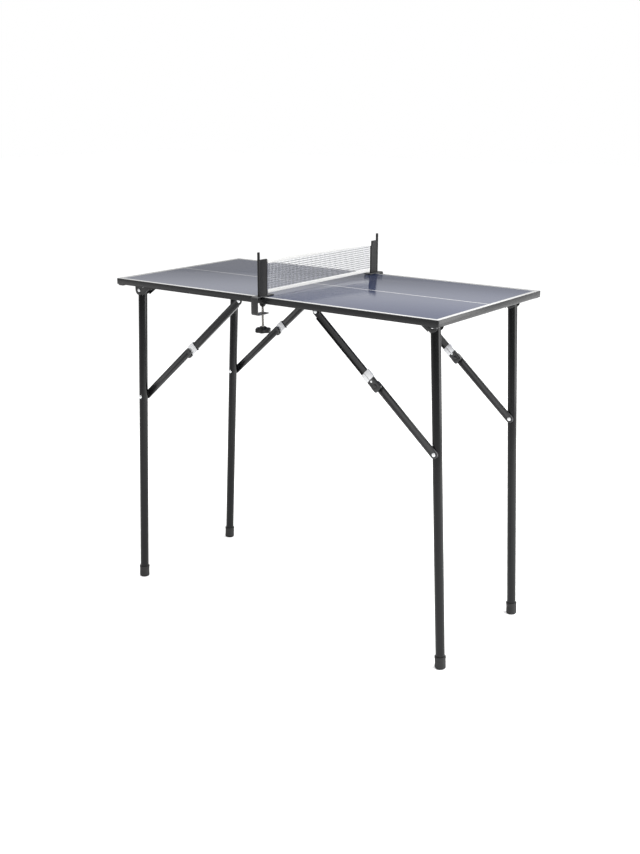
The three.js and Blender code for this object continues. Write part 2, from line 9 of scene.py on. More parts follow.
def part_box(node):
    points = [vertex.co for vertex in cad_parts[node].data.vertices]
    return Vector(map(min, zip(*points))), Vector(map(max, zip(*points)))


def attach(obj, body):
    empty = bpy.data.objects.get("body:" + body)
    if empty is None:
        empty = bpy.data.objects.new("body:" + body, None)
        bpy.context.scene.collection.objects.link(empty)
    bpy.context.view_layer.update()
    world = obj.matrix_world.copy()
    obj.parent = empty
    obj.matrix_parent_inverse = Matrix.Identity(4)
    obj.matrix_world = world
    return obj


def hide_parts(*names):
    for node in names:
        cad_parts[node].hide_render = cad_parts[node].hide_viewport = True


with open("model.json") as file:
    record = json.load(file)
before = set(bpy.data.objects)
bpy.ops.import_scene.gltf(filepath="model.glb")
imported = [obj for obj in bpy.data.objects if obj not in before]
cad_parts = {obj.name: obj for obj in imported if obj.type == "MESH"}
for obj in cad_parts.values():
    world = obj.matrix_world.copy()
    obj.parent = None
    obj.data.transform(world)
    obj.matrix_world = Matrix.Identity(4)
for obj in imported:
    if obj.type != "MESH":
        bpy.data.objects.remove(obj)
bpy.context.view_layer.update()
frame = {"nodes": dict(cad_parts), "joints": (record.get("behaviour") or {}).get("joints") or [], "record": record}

scene = bpy.context.scene

# ---------------------------------------------------------------- camera
# A standing person's view of the table's front right corner, looking slightly down on the board.
# It stays sharp all over, and is level to within a fraction of a degree.
VIEW_AZIMUTH = math.radians(36.55)
VIEW_ELEVATION = math.radians(16.44)
VIEW_ROLL = math.radians(0.12)
VIEW_DISTANCE = 2.70
VIEW_TARGET = Vector((-0.0265, 0.0298, 0.4296))
VIEW_LENS = 46.06

toward_eye = Vector((
    math.sin(VIEW_AZIMUTH) * math.cos(VIEW_ELEVATION),
    -math.cos(VIEW_AZIMUTH) * math.cos(VIEW_ELEVATION),
    math.sin(VIEW_ELEVATION),
))
camera_data = bpy.data.cameras.new("camera")
camera_data.lens = VIEW_LENS
camera_data.sensor_width = 36.0
camera = bpy.data.objects.new("camera", camera_data)
scene.collection.objects.link(camera)
camera.location = VIEW_TARGET + toward_eye * VIEW_DISTANCE
camera.rotation_mode = "QUATERNION"
camera.rotation_quaternion = (-toward_eye).to_track_quat("-Z", "Y") @ Quaternion((0, 0, 1), VIEW_ROLL)
scene.camera = camera
scene.view_settings.view_transform = "Standard"


# ---------------------------------------------------------------- the board
# One lacquered panel with printed white lines: a broad border line and a thin one along the middle.
# It drops into the frame of rails, so only its top face and its underside are bare.
BORDER_LINE = 0.009
CENTRE_LINE = 0.0035
PANEL_EDGE_ROUND = 0.0006


def node_tree_of(material):
    material.use_nodes = True
    nodes = material.node_tree.nodes
    return nodes, material.node_tree.links, nodes["Principled BSDF"]


def value_math(nodes, links, operation, first, second=None, clamp=False):
    node = nodes.new("ShaderNodeMath")
    node.operation = operation
    node.use_clamp = clamp
    for socket, given in zip(node.inputs, (first, second)):
        if given is None:
            continue
        if isinstance(given, (int, float)):
            socket.default_value = given
        else:
            links.new(given, socket)
    return node.outputs[0]


def surface_grain_group():
    """Fine unevenness of a coated or moulded skin: a bump height, a roughness swing and a faint tone."""
    group = bpy.data.node_groups.new("surface_grain", "ShaderNodeTree")
    for name, default in (("Grain Size", 0.002), ("Roughness", 0.3), ("Swing", 0.08), ("Smudge Size", 0.12)):
        socket = group.interface.new_socket(name, in_out="INPUT", socket_type="NodeSocketFloat")
        socket.default_value = default
    for name in ("Height", "Roughness", "Tone"):
        group.interface.new_socket(name, in_out="OUTPUT", socket_type="NodeSocketFloat")
    nodes, links = group.nodes, group.links
    given = nodes.new("NodeGroupInput")
    result = nodes.new("NodeGroupOutput")
    place = nodes.new("ShaderNodeTexCoord").outputs["Object"]
    grain = nodes.new("ShaderNodeTexNoise")
    grain.inputs["Detail"].default_value = 3.0
    links.new(place, grain.inputs["Vector"])
    links.new(value_math(nodes, links, "DIVIDE", 1.0, given.outputs["Grain Size"]), grain.inputs["Scale"])
    smudge = nodes.new("ShaderNodeTexNoise")
    smudge.inputs["Detail"].default_value = 4.0
    smudge.inputs["Roughness"].default_value = 0.6
    links.new(place, smudge.inputs["Vector"])
    links.new(value_math(nodes, links, "DIVIDE", 1.0, given.outputs["Smudge Size"]), smudge.inputs["Scale"])
    centred = value_math(nodes, links, "SUBTRACT", smudge.outputs["Fac"], 0.5)
    swing = value_math(nodes, links, "MULTIPLY", centred, given.outputs["Swing"])
    doubled = value_math(nodes, links, "MULTIPLY", swing, 2.0)
    links.new(value_math(nodes, links, "ADD", given.outputs["Roughness"], doubled, clamp=True),
              result.inputs["Roughness"])
    links.new(grain.outputs["Fac"], result.inputs["Height"])
    links.new(smudge.outputs["Fac"], result.inputs["Tone"])
    return group


SURFACE_GRAIN = surface_grain_group()


def coated(name, colour, roughness, grain_size, bump, swing=0.06, tone=0.25, metallic=0.0, specular=0.5):
    """A coat, plating or moulded skin: colour varies faintly, gloss and bump come from the grain."""
    material = bpy.data.materials.new(name)
    nodes, links, shader = node_tree_of(material)
    grain = nodes.new("ShaderNodeGroup")
    grain.node_tree = SURFACE_GRAIN
    grain.inputs["Grain Size"].default_value = grain_size
    grain.inputs["Roughness"].default_value = roughness
    grain.inputs["Swing"].default_value = swing
    mix = nodes.new("ShaderNodeMix")
    mix.data_type = "RGBA"
    mix.inputs["A"].default_value = (*[c * (1 - tone) for c in colour], 1)
    mix.inputs["B"].default_value = (*[min(1, c * (1 + tone)) for c in colour], 1)
    links.new(grain.outputs["Tone"], mix.inputs["Factor"])
    links.new(mix.outputs["Result"], shader.inputs["Base Color"])
    links.new(grain.outputs["Roughness"], shader.inputs["Roughness"])
    height = nodes.new("ShaderNodeBump")
    height.inputs["Strength"].default_value = 0.35
    height.inputs["Distance"].default_value = bump
    links.new(grain.outputs["Height"], height.inputs["Height"])
    links.new(height.outputs["Normal"], shader.inputs["Normal"])
    shader.inputs["Metallic"].default_value = metallic
    shader.inputs["Specular IOR Level"].default_value = specular
    return material


def line_mask(nodes, links, place, axis, low, high):
    """1 where the size of the coordinate lies between low and high, with a slightly soft printed edge."""
    split = nodes.new("ShaderNodeSeparateXYZ")
    links.new(place, split.inputs[0])
    size = value_math(nodes, links, "ABSOLUTE", split.outputs[axis])
    above = nodes.new("ShaderNodeMapRange")
    above.inputs["From Min"].default_value = low - 0.0002
    above.inputs["From Max"].default_value = low + 0.0002
    links.new(size, above.inputs["Value"])
    below = nodes.new("ShaderNodeMapRange")
    below.inputs["From Min"].default_value = high + 0.0002
    below.inputs["From Max"].default_value = high - 0.0002
    links.new(size, below.inputs["Value"])
    return value_math(nodes, links, "MULTIPLY", above.outputs[0], below.outputs[0])


def lacquered_board(half_length, half_width, top_z):
    material = coated("board_lacquer", (0.018, 0.025, 0.058), 0.15, 0.0016, 0.00002, swing=0.03, tone=0.12)
    nodes, links, shader = node_tree_of(material)
    place = nodes.new("ShaderNodeTexCoord").outputs["Object"]
    ends = line_mask(nodes, links, place, 0, half_length - BORDER_LINE, half_length)
    sides = line_mask(nodes, links, place, 1, half_width - BORDER_LINE, half_width)
    middle = line_mask(nodes, links, place, 1, -1.0, CENTRE_LINE / 2)
    split = nodes.new("ShaderNodeSeparateXYZ")
    links.new(place, split.inputs[0])
    on_top = value_math(nodes, links, "GREATER_THAN", split.outputs[2], top_z - 0.001)
    lines = value_math(nodes, links, "MAXIMUM", value_math(nodes, links, "MAXIMUM", ends, sides), middle)
    mask = value_math(nodes, links, "MULTIPLY", lines, on_top)
    blue = shader.inputs["Base Color"].links[0].from_socket
    printed = nodes.new("ShaderNodeMix")
    printed.data_type = "RGBA"
    printed.inputs["B"].default_value = (0.36, 0.36, 0.355, 1)
    links.new(blue, printed.inputs["A"])
    links.new(mask, printed.inputs["Factor"])
    links.new(printed.outputs["Result"], shader.inputs["Base Color"])
    return material


def block(bm, low, high):
    made = bmesh.ops.create_cube(bm, size=1.0)
    for vertex in made["verts"]:
        vertex.co = Vector([low[i] + (vertex.co[i] + 0.5) * (high[i] - low[i]) for i in range(3)])
    return made["verts"]


def rounded_edges(bm, width, segments=2, angle=math.radians(30)):
    edges = [e for e in bm.edges if len(e.link_faces) == 2 and e.calc_face_angle(0) > angle]
    bmesh.ops.bevel(bm, geom=edges, offset=width, segments=segments, affect="EDGES", profile=0.5,
                    clamp_overlap=True)


def mesh_object(name, bm, sharp=math.radians(35)):
    bmesh.ops.remove_doubles(bm, verts=bm.verts, dist=1e-6)
    bmesh.ops.recalc_face_normals(bm, faces=bm.faces)
    mesh = bpy.data.meshes.new(name)
    bm.to_mesh(mesh)
    bm.free()
    mesh.shade_smooth()
    mesh.set_sharp_from_angle(angle=sharp)
    made = bpy.data.objects.new(name, mesh)
    scene.collection.objects.link(made)
    return made


def fit_out(made, body, slot, material, *stands_for):
    """Gives a finished piece its finish, the body it moves with and the CAD nodes it stands for."""
    made.data.materials.clear()
    made.data.materials.append(material)
    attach(made, body)
    if stands_for:
        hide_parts(*stands_for)
    return made


panel_low, panel_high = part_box("tabletop_panel")
bm = bmesh.new()
block(bm, panel_low, panel_high)
rounded_edges(bm, PANEL_EDGE_ROUND, 3)
board_finish = lacquered_board(panel_high.x, panel_high.y, panel_high.z)
fit_out(mesh_object("board", bm), "table", "board", board_finish, "tabletop_panel")


# ---------------------------------------------------------------- the edge rails
# Four black powder-coated steel angles round the board, with a lug under each corner of the long ones.
# Their edges are rolled, and small pan-head screws hold their flanges to the underside of the board.
SHEET_EDGE_ROUND = 0.0004
RAIL_SCREW_SPACING = 0.148
RAIL_SCREW_HEAD = 0.0034

frame_black = coated("frame_powder_coat", (0.006, 0.0062, 0.007), 0.32, 0.0012, 0.00006, specular=0.36)
bright_steel = coated("bright_zinc", (0.66, 0.67, 0.68), 0.27, 0.0015, 0.00003, tone=0.08, metallic=1.0)


def softened_copy(node, name, width, segments=2):
    """A CAD solid's own shape with its flat faces merged and its edges rolled over."""
    bm = bmesh.new()
    bm.from_mesh(frame["nodes"][node].data)
    bmesh.ops.remove_doubles(bm, verts=bm.verts, dist=5e-6)
    bmesh.ops.dissolve_limit(bm, angle_limit=math.radians(1.0), verts=bm.verts, edges=bm.edges,
                             delimit=set())
    rounded_edges(bm, width, segments)
    return mesh_object(name, bm)


for side in ("front", "back", "right", "left"):
    node = f"edge_rail_{side}"
    fit_out(softened_copy(node, f"rail_{side}", SHEET_EDGE_ROUND), "table", "frame_paint", frame_black, node)


def revolved(bm, profile, steps, to_world=Matrix.Identity(4)):
    """Turns [radius, height] pairs about Z. Points on the axis become single poles."""
    rings = []
    turns = [2 * math.pi * i / steps for i in range(steps)]
    for radius, height in profile:
        if radius < 1e-7:
            rings.append([bm.verts.new(to_world @ Vector((0, 0, height)))])
            continue
        rings.append([
            bm.verts.new(to_world @ Vector((radius * math.cos(turn), radius * math.sin(turn), height)))
            for turn in turns
        ])
    for first, second in zip(rings, rings[1:]):
        for i in range(steps):
            j = (i + 1) % steps
            corners = [first[i % len(first)], first[j % len(first)]]
            corners += [second[j % len(second)], second[i % len(second)]]
            unique = list(dict.fromkeys(corners))
            if len(unique) > 2:
                bm.faces.new(unique)
    return rings


def domed(radius, height, steps=6, base=0.0, sign=1):
    """Profile of a low dome from its rim up to its pole."""
    return [
        (radius * math.cos(math.pi / 2 * i / steps), base + sign * height * math.sin(math.pi / 2 * i / steps))
        for i in range(steps)
    ] + [(0.0, base + sign * height)]


def pan_head_screw(name, radius):
    """A pan-head screw seen from outside, head toward -Z, with a cross recess."""
    bm = bmesh.new()
    height = radius * 0.62
    profile = [(0.0, 0.0), (radius, 0.0), (radius, -height * 0.35)]
    profile += domed(radius * 0.98, height * 0.6, 4, -height * 0.4, -1)
    revolved(bm, profile, 16)
    for turn in (0, math.pi / 2):
        reach = radius * 0.55
        half = radius * 0.11
        bar = block(bm, (-reach, -half, -height * 1.02), (reach, half, -height * 0.9))
        bmesh.ops.rotate(bm, verts=bar, cent=(0, 0, 0), matrix=Matrix.Rotation(turn, 3, "Z"))
    made = mesh_object(name, bm)
    scene.collection.objects.unlink(made)
    return made


def row_tree(name):
    """Geometry nodes: a row of copies of one object from Start, Step apart."""
    tree = bpy.data.node_groups.new(name, "GeometryNodeTree")
    tree.interface.new_socket("Geometry", in_out="INPUT", socket_type="NodeSocketGeometry")
    for label, kind in (("Count", "NodeSocketInt"), ("Start", "NodeSocketVector"),
                        ("Step", "NodeSocketVector"), ("Piece", "NodeSocketObject"),
                        ("Finish", "NodeSocketMaterial")):
        tree.interface.new_socket(label, in_out="INPUT", socket_type=kind)
    tree.interface.new_socket("Geometry", in_out="OUTPUT", socket_type="NodeSocketGeometry")
    nodes, links = tree.nodes, tree.links
    given, result = nodes.new("NodeGroupInput"), nodes.new("NodeGroupOutput")
    line = nodes.new("GeometryNodeMeshLine")
    links.new(given.outputs["Count"], line.inputs["Count"])
    links.new(given.outputs["Start"], line.inputs["Start Location"])
    links.new(given.outputs["Step"], line.inputs["Offset"])
    info = nodes.new("GeometryNodeObjectInfo")
    links.new(given.outputs["Piece"], info.inputs["Object"])
    copies = nodes.new("GeometryNodeInstanceOnPoints")
    links.new(line.outputs["Mesh"], copies.inputs["Points"])
    links.new(info.outputs["Geometry"], copies.inputs["Instance"])
    real = nodes.new("GeometryNodeRealizeInstances")
    links.new(copies.outputs["Instances"], real.inputs["Geometry"])
    finish = nodes.new("GeometryNodeSetMaterial")
    links.new(real.outputs["Geometry"], finish.inputs["Geometry"])
    links.new(given.outputs["Finish"], finish.inputs["Material"])
    links.new(finish.outputs["Geometry"], result.inputs["Geometry"])
    return tree


ROW_TREE = row_tree("row_of_pieces")


def grown(tree, name, sharp=math.radians(35), **inputs):
    """Runs a geometry-nodes tree and keeps what it makes as a plain mesh."""
    holder = bpy.data.objects.new(name, bpy.data.meshes.new(name))
    scene.collection.objects.link(holder)
    modifier = holder.modifiers.new("grow", "NODES")
    modifier.node_group = tree
    sockets = {s.name: s.identifier for s in tree.interface.items_tree if s.in_out == "INPUT"}
    for label, given in inputs.items():
        modifier[sockets[label.replace("_", " ").title()]] = given
    bpy.context.view_layer.update()
    evaluated = holder.evaluated_get(bpy.context.evaluated_depsgraph_get())
    mesh = bpy.data.meshes.new_from_object(evaluated)
    holder.modifiers.remove(modifier)
    holder.data = mesh
    mesh.shade_smooth()
    mesh.set_sharp_from_angle(angle=sharp)
    return holder


rail_screw = pan_head_screw("rail_screw_pattern", RAIL_SCREW_HEAD)
rail_low, rail_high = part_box("edge_rail_front")
flange_middle = (rail_high.y - rail_low.y) * 0.6
flange_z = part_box("edge_rail_right")[0].z
screw_count = int((rail_high.x - rail_low.x) / RAIL_SCREW_SPACING)
first_screw = -(screw_count - 1) / 2 * RAIL_SCREW_SPACING
for side, y in (("front", rail_low.y + flange_middle), ("back", -rail_low.y - flange_middle)):
    row = grown(ROW_TREE, f"rail_screws_{side}", count=screw_count, start=(first_screw, y, flange_z),
                step=(RAIL_SCREW_SPACING, 0, 0), piece=rail_screw, finish=bright_steel)
    fit_out(row, "table", "bright_steel", bright_steel)


# ---------------------------------------------------------------- the corner sets
# Every leg stands in the same set of pieces, as it is on the right and turned round on the left.
# In the set's own frame +X points to the end of the table, the leg is at Y zero, the brace at -Y.
CORNERS = ("front_right", "back_right", "front_left", "back_left")
joints = {joint["name"]: joint for joint in frame["joints"]}
mounts = {mount["name"]: mount for mount in frame["record"]["mounts"]}

hinge = Vector(joints["leg_fold_front_right"]["pos_m"])
rail_pivot = Vector(joints["brace_fold_front_right"]["pos_m"])
knee = Vector(joints["knee_fold_front_right"]["pos_m"])
foot = Vector(mounts["foot_front_right"]["pos_m"])
splay = math.atan2(foot.x - hinge.x, hinge.z)
slope = math.atan2(rail_pivot.z - knee.z, knee.x - rail_pivot.x)
leg_length = (hinge - foot).length
upper_length = (knee - rail_pivot).length
leg_pivot = (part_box("leg_rivet_front_right")[0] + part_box("leg_rivet_front_right")[1]) / 2
leg_pivot_reach = (Vector((leg_pivot.x, hinge.y, leg_pivot.z)) - hinge).length
lower_length = (Vector((leg_pivot.x, hinge.y, leg_pivot.z)) - knee).length


def depth_range(node):
    """The near and far Y of a front right node, from the leg's axis."""
    low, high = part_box(node)
    return low.y - hinge.y, high.y - hinge.y


leg_radius = depth_range("leg_tube_front_right")[1]
cap_radius = depth_range("foot_cap_front_right")[1]
upper_far, _ = depth_range("upper_brace_front_right")
lower_far, _ = depth_range("lower_brace_front_right")


def set_frame(corner):
    joint = joints[f"leg_fold_{corner}"]
    turn = 0.0 if joint["axis"][1] > 0 else math.pi
    return Matrix.Translation((0, joint["pos_m"][1], 0)) @ Matrix.Rotation(turn, 4, "Z")


def leg_frame(corner):
    return set_frame(corner) @ Matrix.Translation((hinge.x, 0, hinge.z)) @ Matrix.Rotation(-splay, 4, "Y")


def brace_frame(corner):
    at_rail = Matrix.Translation((rail_pivot.x, 0, rail_pivot.z))
    return set_frame(corner) @ at_rail @ Matrix.Rotation(slope, 4, "Y")


# ---------------------------------------------------------------- the legs
# Gloss black steel tube, open at the top with a rolled lip. Its lower end is pushed into the foot cap,
# and its top hangs on the hinge pin between the bracket's cheeks.
LEG_WALL = 0.0013
LEG_LIP = 0.0005
LEG_ABOVE_PIN = 0.0055
CAP_SOCKET_FLOOR = 0.0065
TUBE_STEPS = 64

tube_black = coated(
    "tube_gloss_black", (0.005, 0.0052, 0.0055), 0.16, 0.0035, 0.00005, swing=0.05, specular=0.2)


def leg_tube(name, place):
    bm = bmesh.new()
    bottom = CAP_SOCKET_FLOOR - leg_length
    inner = leg_radius - LEG_WALL
    profile = [(inner, bottom), (leg_radius, bottom), (leg_radius, -leg_length * 0.5),
               (leg_radius, LEG_ABOVE_PIN - LEG_LIP)]
    for i in range(1, 4):
        turn = math.pi / 2 * i / 3
        lip_radius = leg_radius - LEG_LIP + LEG_LIP * math.cos(turn)
        profile.append((lip_radius, LEG_ABOVE_PIN - LEG_LIP + LEG_LIP * math.sin(turn)))
    profile += [(inner, LEG_ABOVE_PIN), (inner, bottom)]
    revolved(bm, profile, TUBE_STEPS, place)
    return mesh_object(name, bm)


for corner in CORNERS:
    tube = leg_tube(f"leg_{corner}", leg_frame(corner))
    fit_out(tube, f"leg_{corner}", "tube_paint", tube_black, f"leg_tube_{corner}")


# ---------------------------------------------------------------- the foot caps
# Moulded black rubber cups with a rim at the mouth and fine rings round the wall.
# They are pushed over the tubes and stand flat on the floor although the legs lean.
CAP_HEIGHT = 0.029
CAP_RIM_HEIGHT = 0.0042
CAP_RIM = 0.0006
CAP_FOOT_ROUND = 0.0035
CAP_RING_PITCH = 0.0042
CAP_RING_DEPTH = 0.00025

foot_rubber = coated(
    "foot_rubber", (0.012, 0.012, 0.012), 0.6, 0.0008, 0.00012, swing=0.12, tone=0.35, specular=0.3)


def foot_cap(name, place):
    bm = bmesh.new()
    wall = cap_radius - CAP_RIM
    bottom = -leg_length
    rim_low = bottom + CAP_HEIGHT - CAP_RIM_HEIGHT
    profile = [(0.0, bottom - 0.0012), (wall - CAP_FOOT_ROUND, bottom - 0.0012)]
    for i in range(7):
        turn = math.pi / 2 * i / 6
        profile.append((
            wall - CAP_FOOT_ROUND * (1 - math.sin(turn)), bottom + CAP_FOOT_ROUND * (1 - math.cos(turn))))
    height = bottom + CAP_FOOT_ROUND + 0.003
    while height < rim_low - CAP_RING_PITCH * 0.5:
        profile += [(wall, height), (wall - CAP_RING_DEPTH, height + 0.0005), (wall, height + 0.001)]
        height += CAP_RING_PITCH
    profile += [
        (wall, rim_low), (wall + CAP_RIM * 0.7, rim_low + CAP_RIM * 0.3), (wall + CAP_RIM, rim_low + CAP_RIM),
        (wall + CAP_RIM, bottom + CAP_HEIGHT - 0.0006), (wall + CAP_RIM * 0.4, bottom + CAP_HEIGHT),
        (leg_radius + 0.0001, bottom + CAP_HEIGHT),
        (leg_radius + 0.0001, bottom + CAP_SOCKET_FLOOR - 0.001), (0.0, bottom + CAP_SOCKET_FLOOR - 0.001),
    ]
    revolved(bm, profile, 48, place)
    for vertex in bm.verts:
        vertex.co.z = max(vertex.co.z, 0.0)
    return mesh_object(name, bm)


for corner in CORNERS:
    cap = foot_cap(f"foot_{corner}", leg_frame(corner))
    fit_out(cap, f"leg_{corner}", "black_rubber", foot_rubber, f"foot_cap_{corner}")


# ---------------------------------------------------------------- the hinge brackets and brace brackets
# Pressed black steel: a U bracket over each leg's top, with gusset cheeks, and a footed tab for each brace.
# Rolled edges come from the press. The fixings that hold them to the board are not modelled.
for corner in CORNERS:
    for kind, name in (("leg_hinge_bracket", "hinge_bracket"), ("brace_bracket", "brace_tab")):
        pressed = softened_copy(f"{kind}_{corner}", f"{name}_{corner}", SHEET_EDGE_ROUND)
        fit_out(pressed, "table", "frame_paint", frame_black, f"{kind}_{corner}")


# ---------------------------------------------------------------- pins and rivets
# Bright zinc-plated steel pins and rivets that the legs and bars swing on.
# They are turned about the fold axis, and their low domed heads are pressed over.
HEAD_DOME = 0.0009


def turned_pin(name, sections, place):
    """Turns [radius, y] pairs about the local Y axis of place."""
    bm = bmesh.new()
    revolved(bm, sections, 32, place @ Matrix.Rotation(-math.pi / 2, 4, "X"))
    return mesh_object(name, bm)


def headed_pin(low, high, shank, head, thickness, low_head=True, high_head=True):
    """Profile of a pin between low and high with a domed head at one or both ends."""
    profile = []
    if low_head:
        profile += [(r, y) for r, y in reversed(domed(head * 0.96, HEAD_DOME, 6, low + thickness * 0.6, -1))]
        profile += [(head, low + thickness * 0.8), (head, low + thickness), (shank, low + thickness)]
    else:
        profile += [(0.0, low), (shank, low)]
    if high_head:
        profile += [(shank, high - thickness), (head, high - thickness), (head, high - thickness * 0.8)]
        profile += domed(head * 0.96, HEAD_DOME, 6, high - thickness * 0.6, 1)
    else:
        profile += [(shank, high), (0.0, high)]
    return profile


PIN_SHANK = 0.003
PIN_HEAD = 0.0044
HEAD_THICKNESS = 0.0015

for corner in CORNERS:
    at_hinge = leg_frame(corner)
    low, high = depth_range("leg_hinge_pin_front_right")
    hinge_sections = headed_pin(low, high, PIN_SHANK, PIN_HEAD, HEAD_THICKNESS)
    pin = turned_pin(f"hinge_pin_{corner}", hinge_sections, at_hinge)
    fit_out(pin, "table", "bright_steel", bright_steel, f"leg_hinge_pin_{corner}")
    low, high = depth_range("leg_rivet_front_right")
    at_leg_pivot = leg_frame(corner) @ Matrix.Translation((0, 0, -leg_pivot_reach))
    rivet_sections = headed_pin(low, high, PIN_SHANK, PIN_HEAD, HEAD_THICKNESS, low_head=False)
    rivet = turned_pin(f"leg_rivet_head_{corner}", rivet_sections, at_leg_pivot)
    fit_out(rivet, f"leg_{corner}", "bright_steel", bright_steel, f"leg_rivet_{corner}")
    low, high = depth_range("brace_pin_front_right")
    brace_sections = headed_pin(low, high, PIN_SHANK, PIN_HEAD, HEAD_THICKNESS * 0.8)
    brace_pin = turned_pin(f"brace_rivet_{corner}", brace_sections, brace_frame(corner))
    fit_out(brace_pin, "table", "bright_steel", bright_steel, f"brace_pin_{corner}")


# ---------------------------------------------------------------- the braces
# Satin black steel bars, two to a corner, riveted together at the knee.
# Upper half: a pressed channel, boxed near the knee. Lower half: a plain bar, domed rivet at the leg.
BUTTON_FROM_KNEE = 0.0122
BUTTON_RADIUS = 0.0026
BUTTON_HEIGHT = 0.00036
HEAD_SINK = 0.001

brace_black = coated(
    "brace_satin_black", (0.009, 0.0092, 0.01), 0.26, 0.0022, 0.00006, swing=0.08, specular=0.45)

for corner in CORNERS:
    upper = softened_copy(f"upper_brace_{corner}", f"upper_bar_{corner}", SHEET_EDGE_ROUND)
    fit_out(upper, f"upper_{corner}", "tube_paint", brace_black, f"upper_brace_{corner}")
    lower = softened_copy(f"lower_brace_{corner}", f"lower_bar_{corner}", SHEET_EDGE_ROUND)
    fit_out(lower, f"lower_{corner}", "tube_paint", brace_black, f"lower_brace_{corner}")
    at_end = brace_frame(corner) @ Matrix.Translation((upper_length + lower_length, 0, 0))
    low, high = lower_far - HEAD_THICKNESS, lower_far + HEAD_SINK
    head_sections = headed_pin(low, high, PIN_SHANK, PIN_HEAD, HEAD_THICKNESS, high_head=False)
    head = turned_pin(f"bar_rivet_head_{corner}", head_sections, at_end)
    fit_out(head, f"lower_{corner}", "bright_steel", bright_steel)

    low, high = depth_range("knee_rivet_front_right")
    at_knee = brace_frame(corner) @ Matrix.Translation((upper_length, 0, 0))
    knee_sections = headed_pin(low, high, PIN_SHANK, PIN_HEAD, HEAD_THICKNESS * 0.8, high_head=False)
    knee_pin = turned_pin(f"knee_pin_{corner}", knee_sections, at_knee)
    fit_out(knee_pin, f"upper_{corner}", "tube_paint", brace_black, f"knee_rivet_{corner}")

    at_button = brace_frame(corner) @ Matrix.Translation((upper_length - BUTTON_FROM_KNEE, 0, 0))
    button_sections = [(0.0, upper_far + HEAD_SINK), (BUTTON_RADIUS, upper_far + HEAD_SINK)]
    button_sections += domed(BUTTON_RADIUS, BUTTON_HEIGHT, 6, upper_far, -1)
    button = turned_pin(f"snap_button_{corner}", button_sections, at_button)
    fit_out(button, f"upper_{corner}", "bright_steel", bright_steel)


# ---------------------------------------------------------------- the locking sleeves
# Light silver-grey sleeves, bent from thin strip, that lock the braces straight.
# They slide along the upper bars and drop over the knees.
SLEEVE_SLIT = 0.0008
SLEEVE_CREASE = 0.0015
SLEEVE_WALL = 0.0011
SLEEVE_CORNER = 0.0013
SLEEVE_EDGE = 0.0004

ring_silver = coated("sleeve_silver", (0.6, 0.605, 0.615), 0.3, 0.0012, 0.00003, tone=0.06, metallic=0.35)
ring_far, ring_near = depth_range("lock_ring_front_right")


def ring_span(corner):
    """Where along the upper bar a sleeve starts and ends, and its half width."""
    to_bar = brace_frame(corner).inverted()
    along = [(to_bar @ v.co).x for v in frame["nodes"][f"lock_ring_{corner}"].data.vertices]
    across = [(to_bar @ v.co).z for v in frame["nodes"][f"lock_ring_{corner}"].data.vertices]
    return min(along), max(along), max(across)


def sleeve(name, corner):
    """A band bent round the bar, its ends meeting in a slit along the middle of a creased outer face."""
    start, end, half = ring_span(corner)
    side = [
        (ring_far, SLEEVE_SLIT / 2), (ring_far + SLEEVE_CREASE, half - SLEEVE_CORNER),
        (ring_far + SLEEVE_CREASE + SLEEVE_CORNER, half), (ring_near - SLEEVE_CORNER, half),
        (ring_near, half - SLEEVE_CORNER),
    ]
    outer = side + [(y, -z) for y, z in side[::-1]]
    inner = [(y + (SLEEVE_WALL if y < (ring_far + ring_near) / 2 else -SLEEVE_WALL),
              z - math.copysign(SLEEVE_WALL if abs(z) > SLEEVE_SLIT else 0.0, z)) for y, z in outer]
    bm = bmesh.new()
    place = brace_frame(corner)
    loops = [[bm.verts.new(place @ Vector((x, y, z))) for y, z in outline]
             for x in (start, end) for outline in (outer, inner)]
    first_outer, first_inner, last_outer, last_inner = loops
    for i in range(len(outer) - 1):
        j = i + 1
        bm.faces.new((first_outer[i], first_outer[j], last_outer[j], last_outer[i]))
        bm.faces.new((first_inner[i], last_inner[i], last_inner[j], first_inner[j]))
        bm.faces.new((first_outer[i], first_inner[i], first_inner[j], first_outer[j]))
        bm.faces.new((last_outer[i], last_outer[j], last_inner[j], last_inner[i]))
    for i in (0, len(outer) - 1):
        bm.faces.new((first_outer[i], last_outer[i], last_inner[i], first_inner[i]))
    bmesh.ops.recalc_face_normals(bm, faces=bm.faces)
    rounded_edges(bm, SLEEVE_EDGE, 2, math.radians(25))
    return mesh_object(name, bm)


for corner in CORNERS:
    band = sleeve(f"sleeve_{corner}", corner)
    fit_out(band, f"ring_{corner}", "ring_plastic", ring_silver, f"lock_ring_{corner}")


# ---------------------------------------------------------------- the clamps
# A C clamp of bent black steel strip over each long edge: its foot lies on the board under the post,
# and its jaw carries the screw. The bends are rolled, and the ends are cropped with small radii.
STRIP_BEND = 0.0042
BEND_STEPS = 6

clamp_black = coated("clamp_black", (0.008, 0.0082, 0.009), 0.3, 0.0014, 0.00007, specular=0.45)
FACING_SIDE = {"front": Matrix.Identity(4), "back": Matrix.Rotation(math.pi, 4, "Z")}


def filleted(path, radius, steps):
    """The path with each inner corner replaced by an arc."""
    points = [path[0]]
    for before, corner, after in zip(path, path[1:], path[2:]):
        back = (before - corner).normalized()
        ahead = (after - corner).normalized()
        for i in range(steps + 1):
            t = i / steps
            points.append(corner + back * radius * (1 - t) ** 2 + ahead * radius * t ** 2)
    return points + [path[-1]]


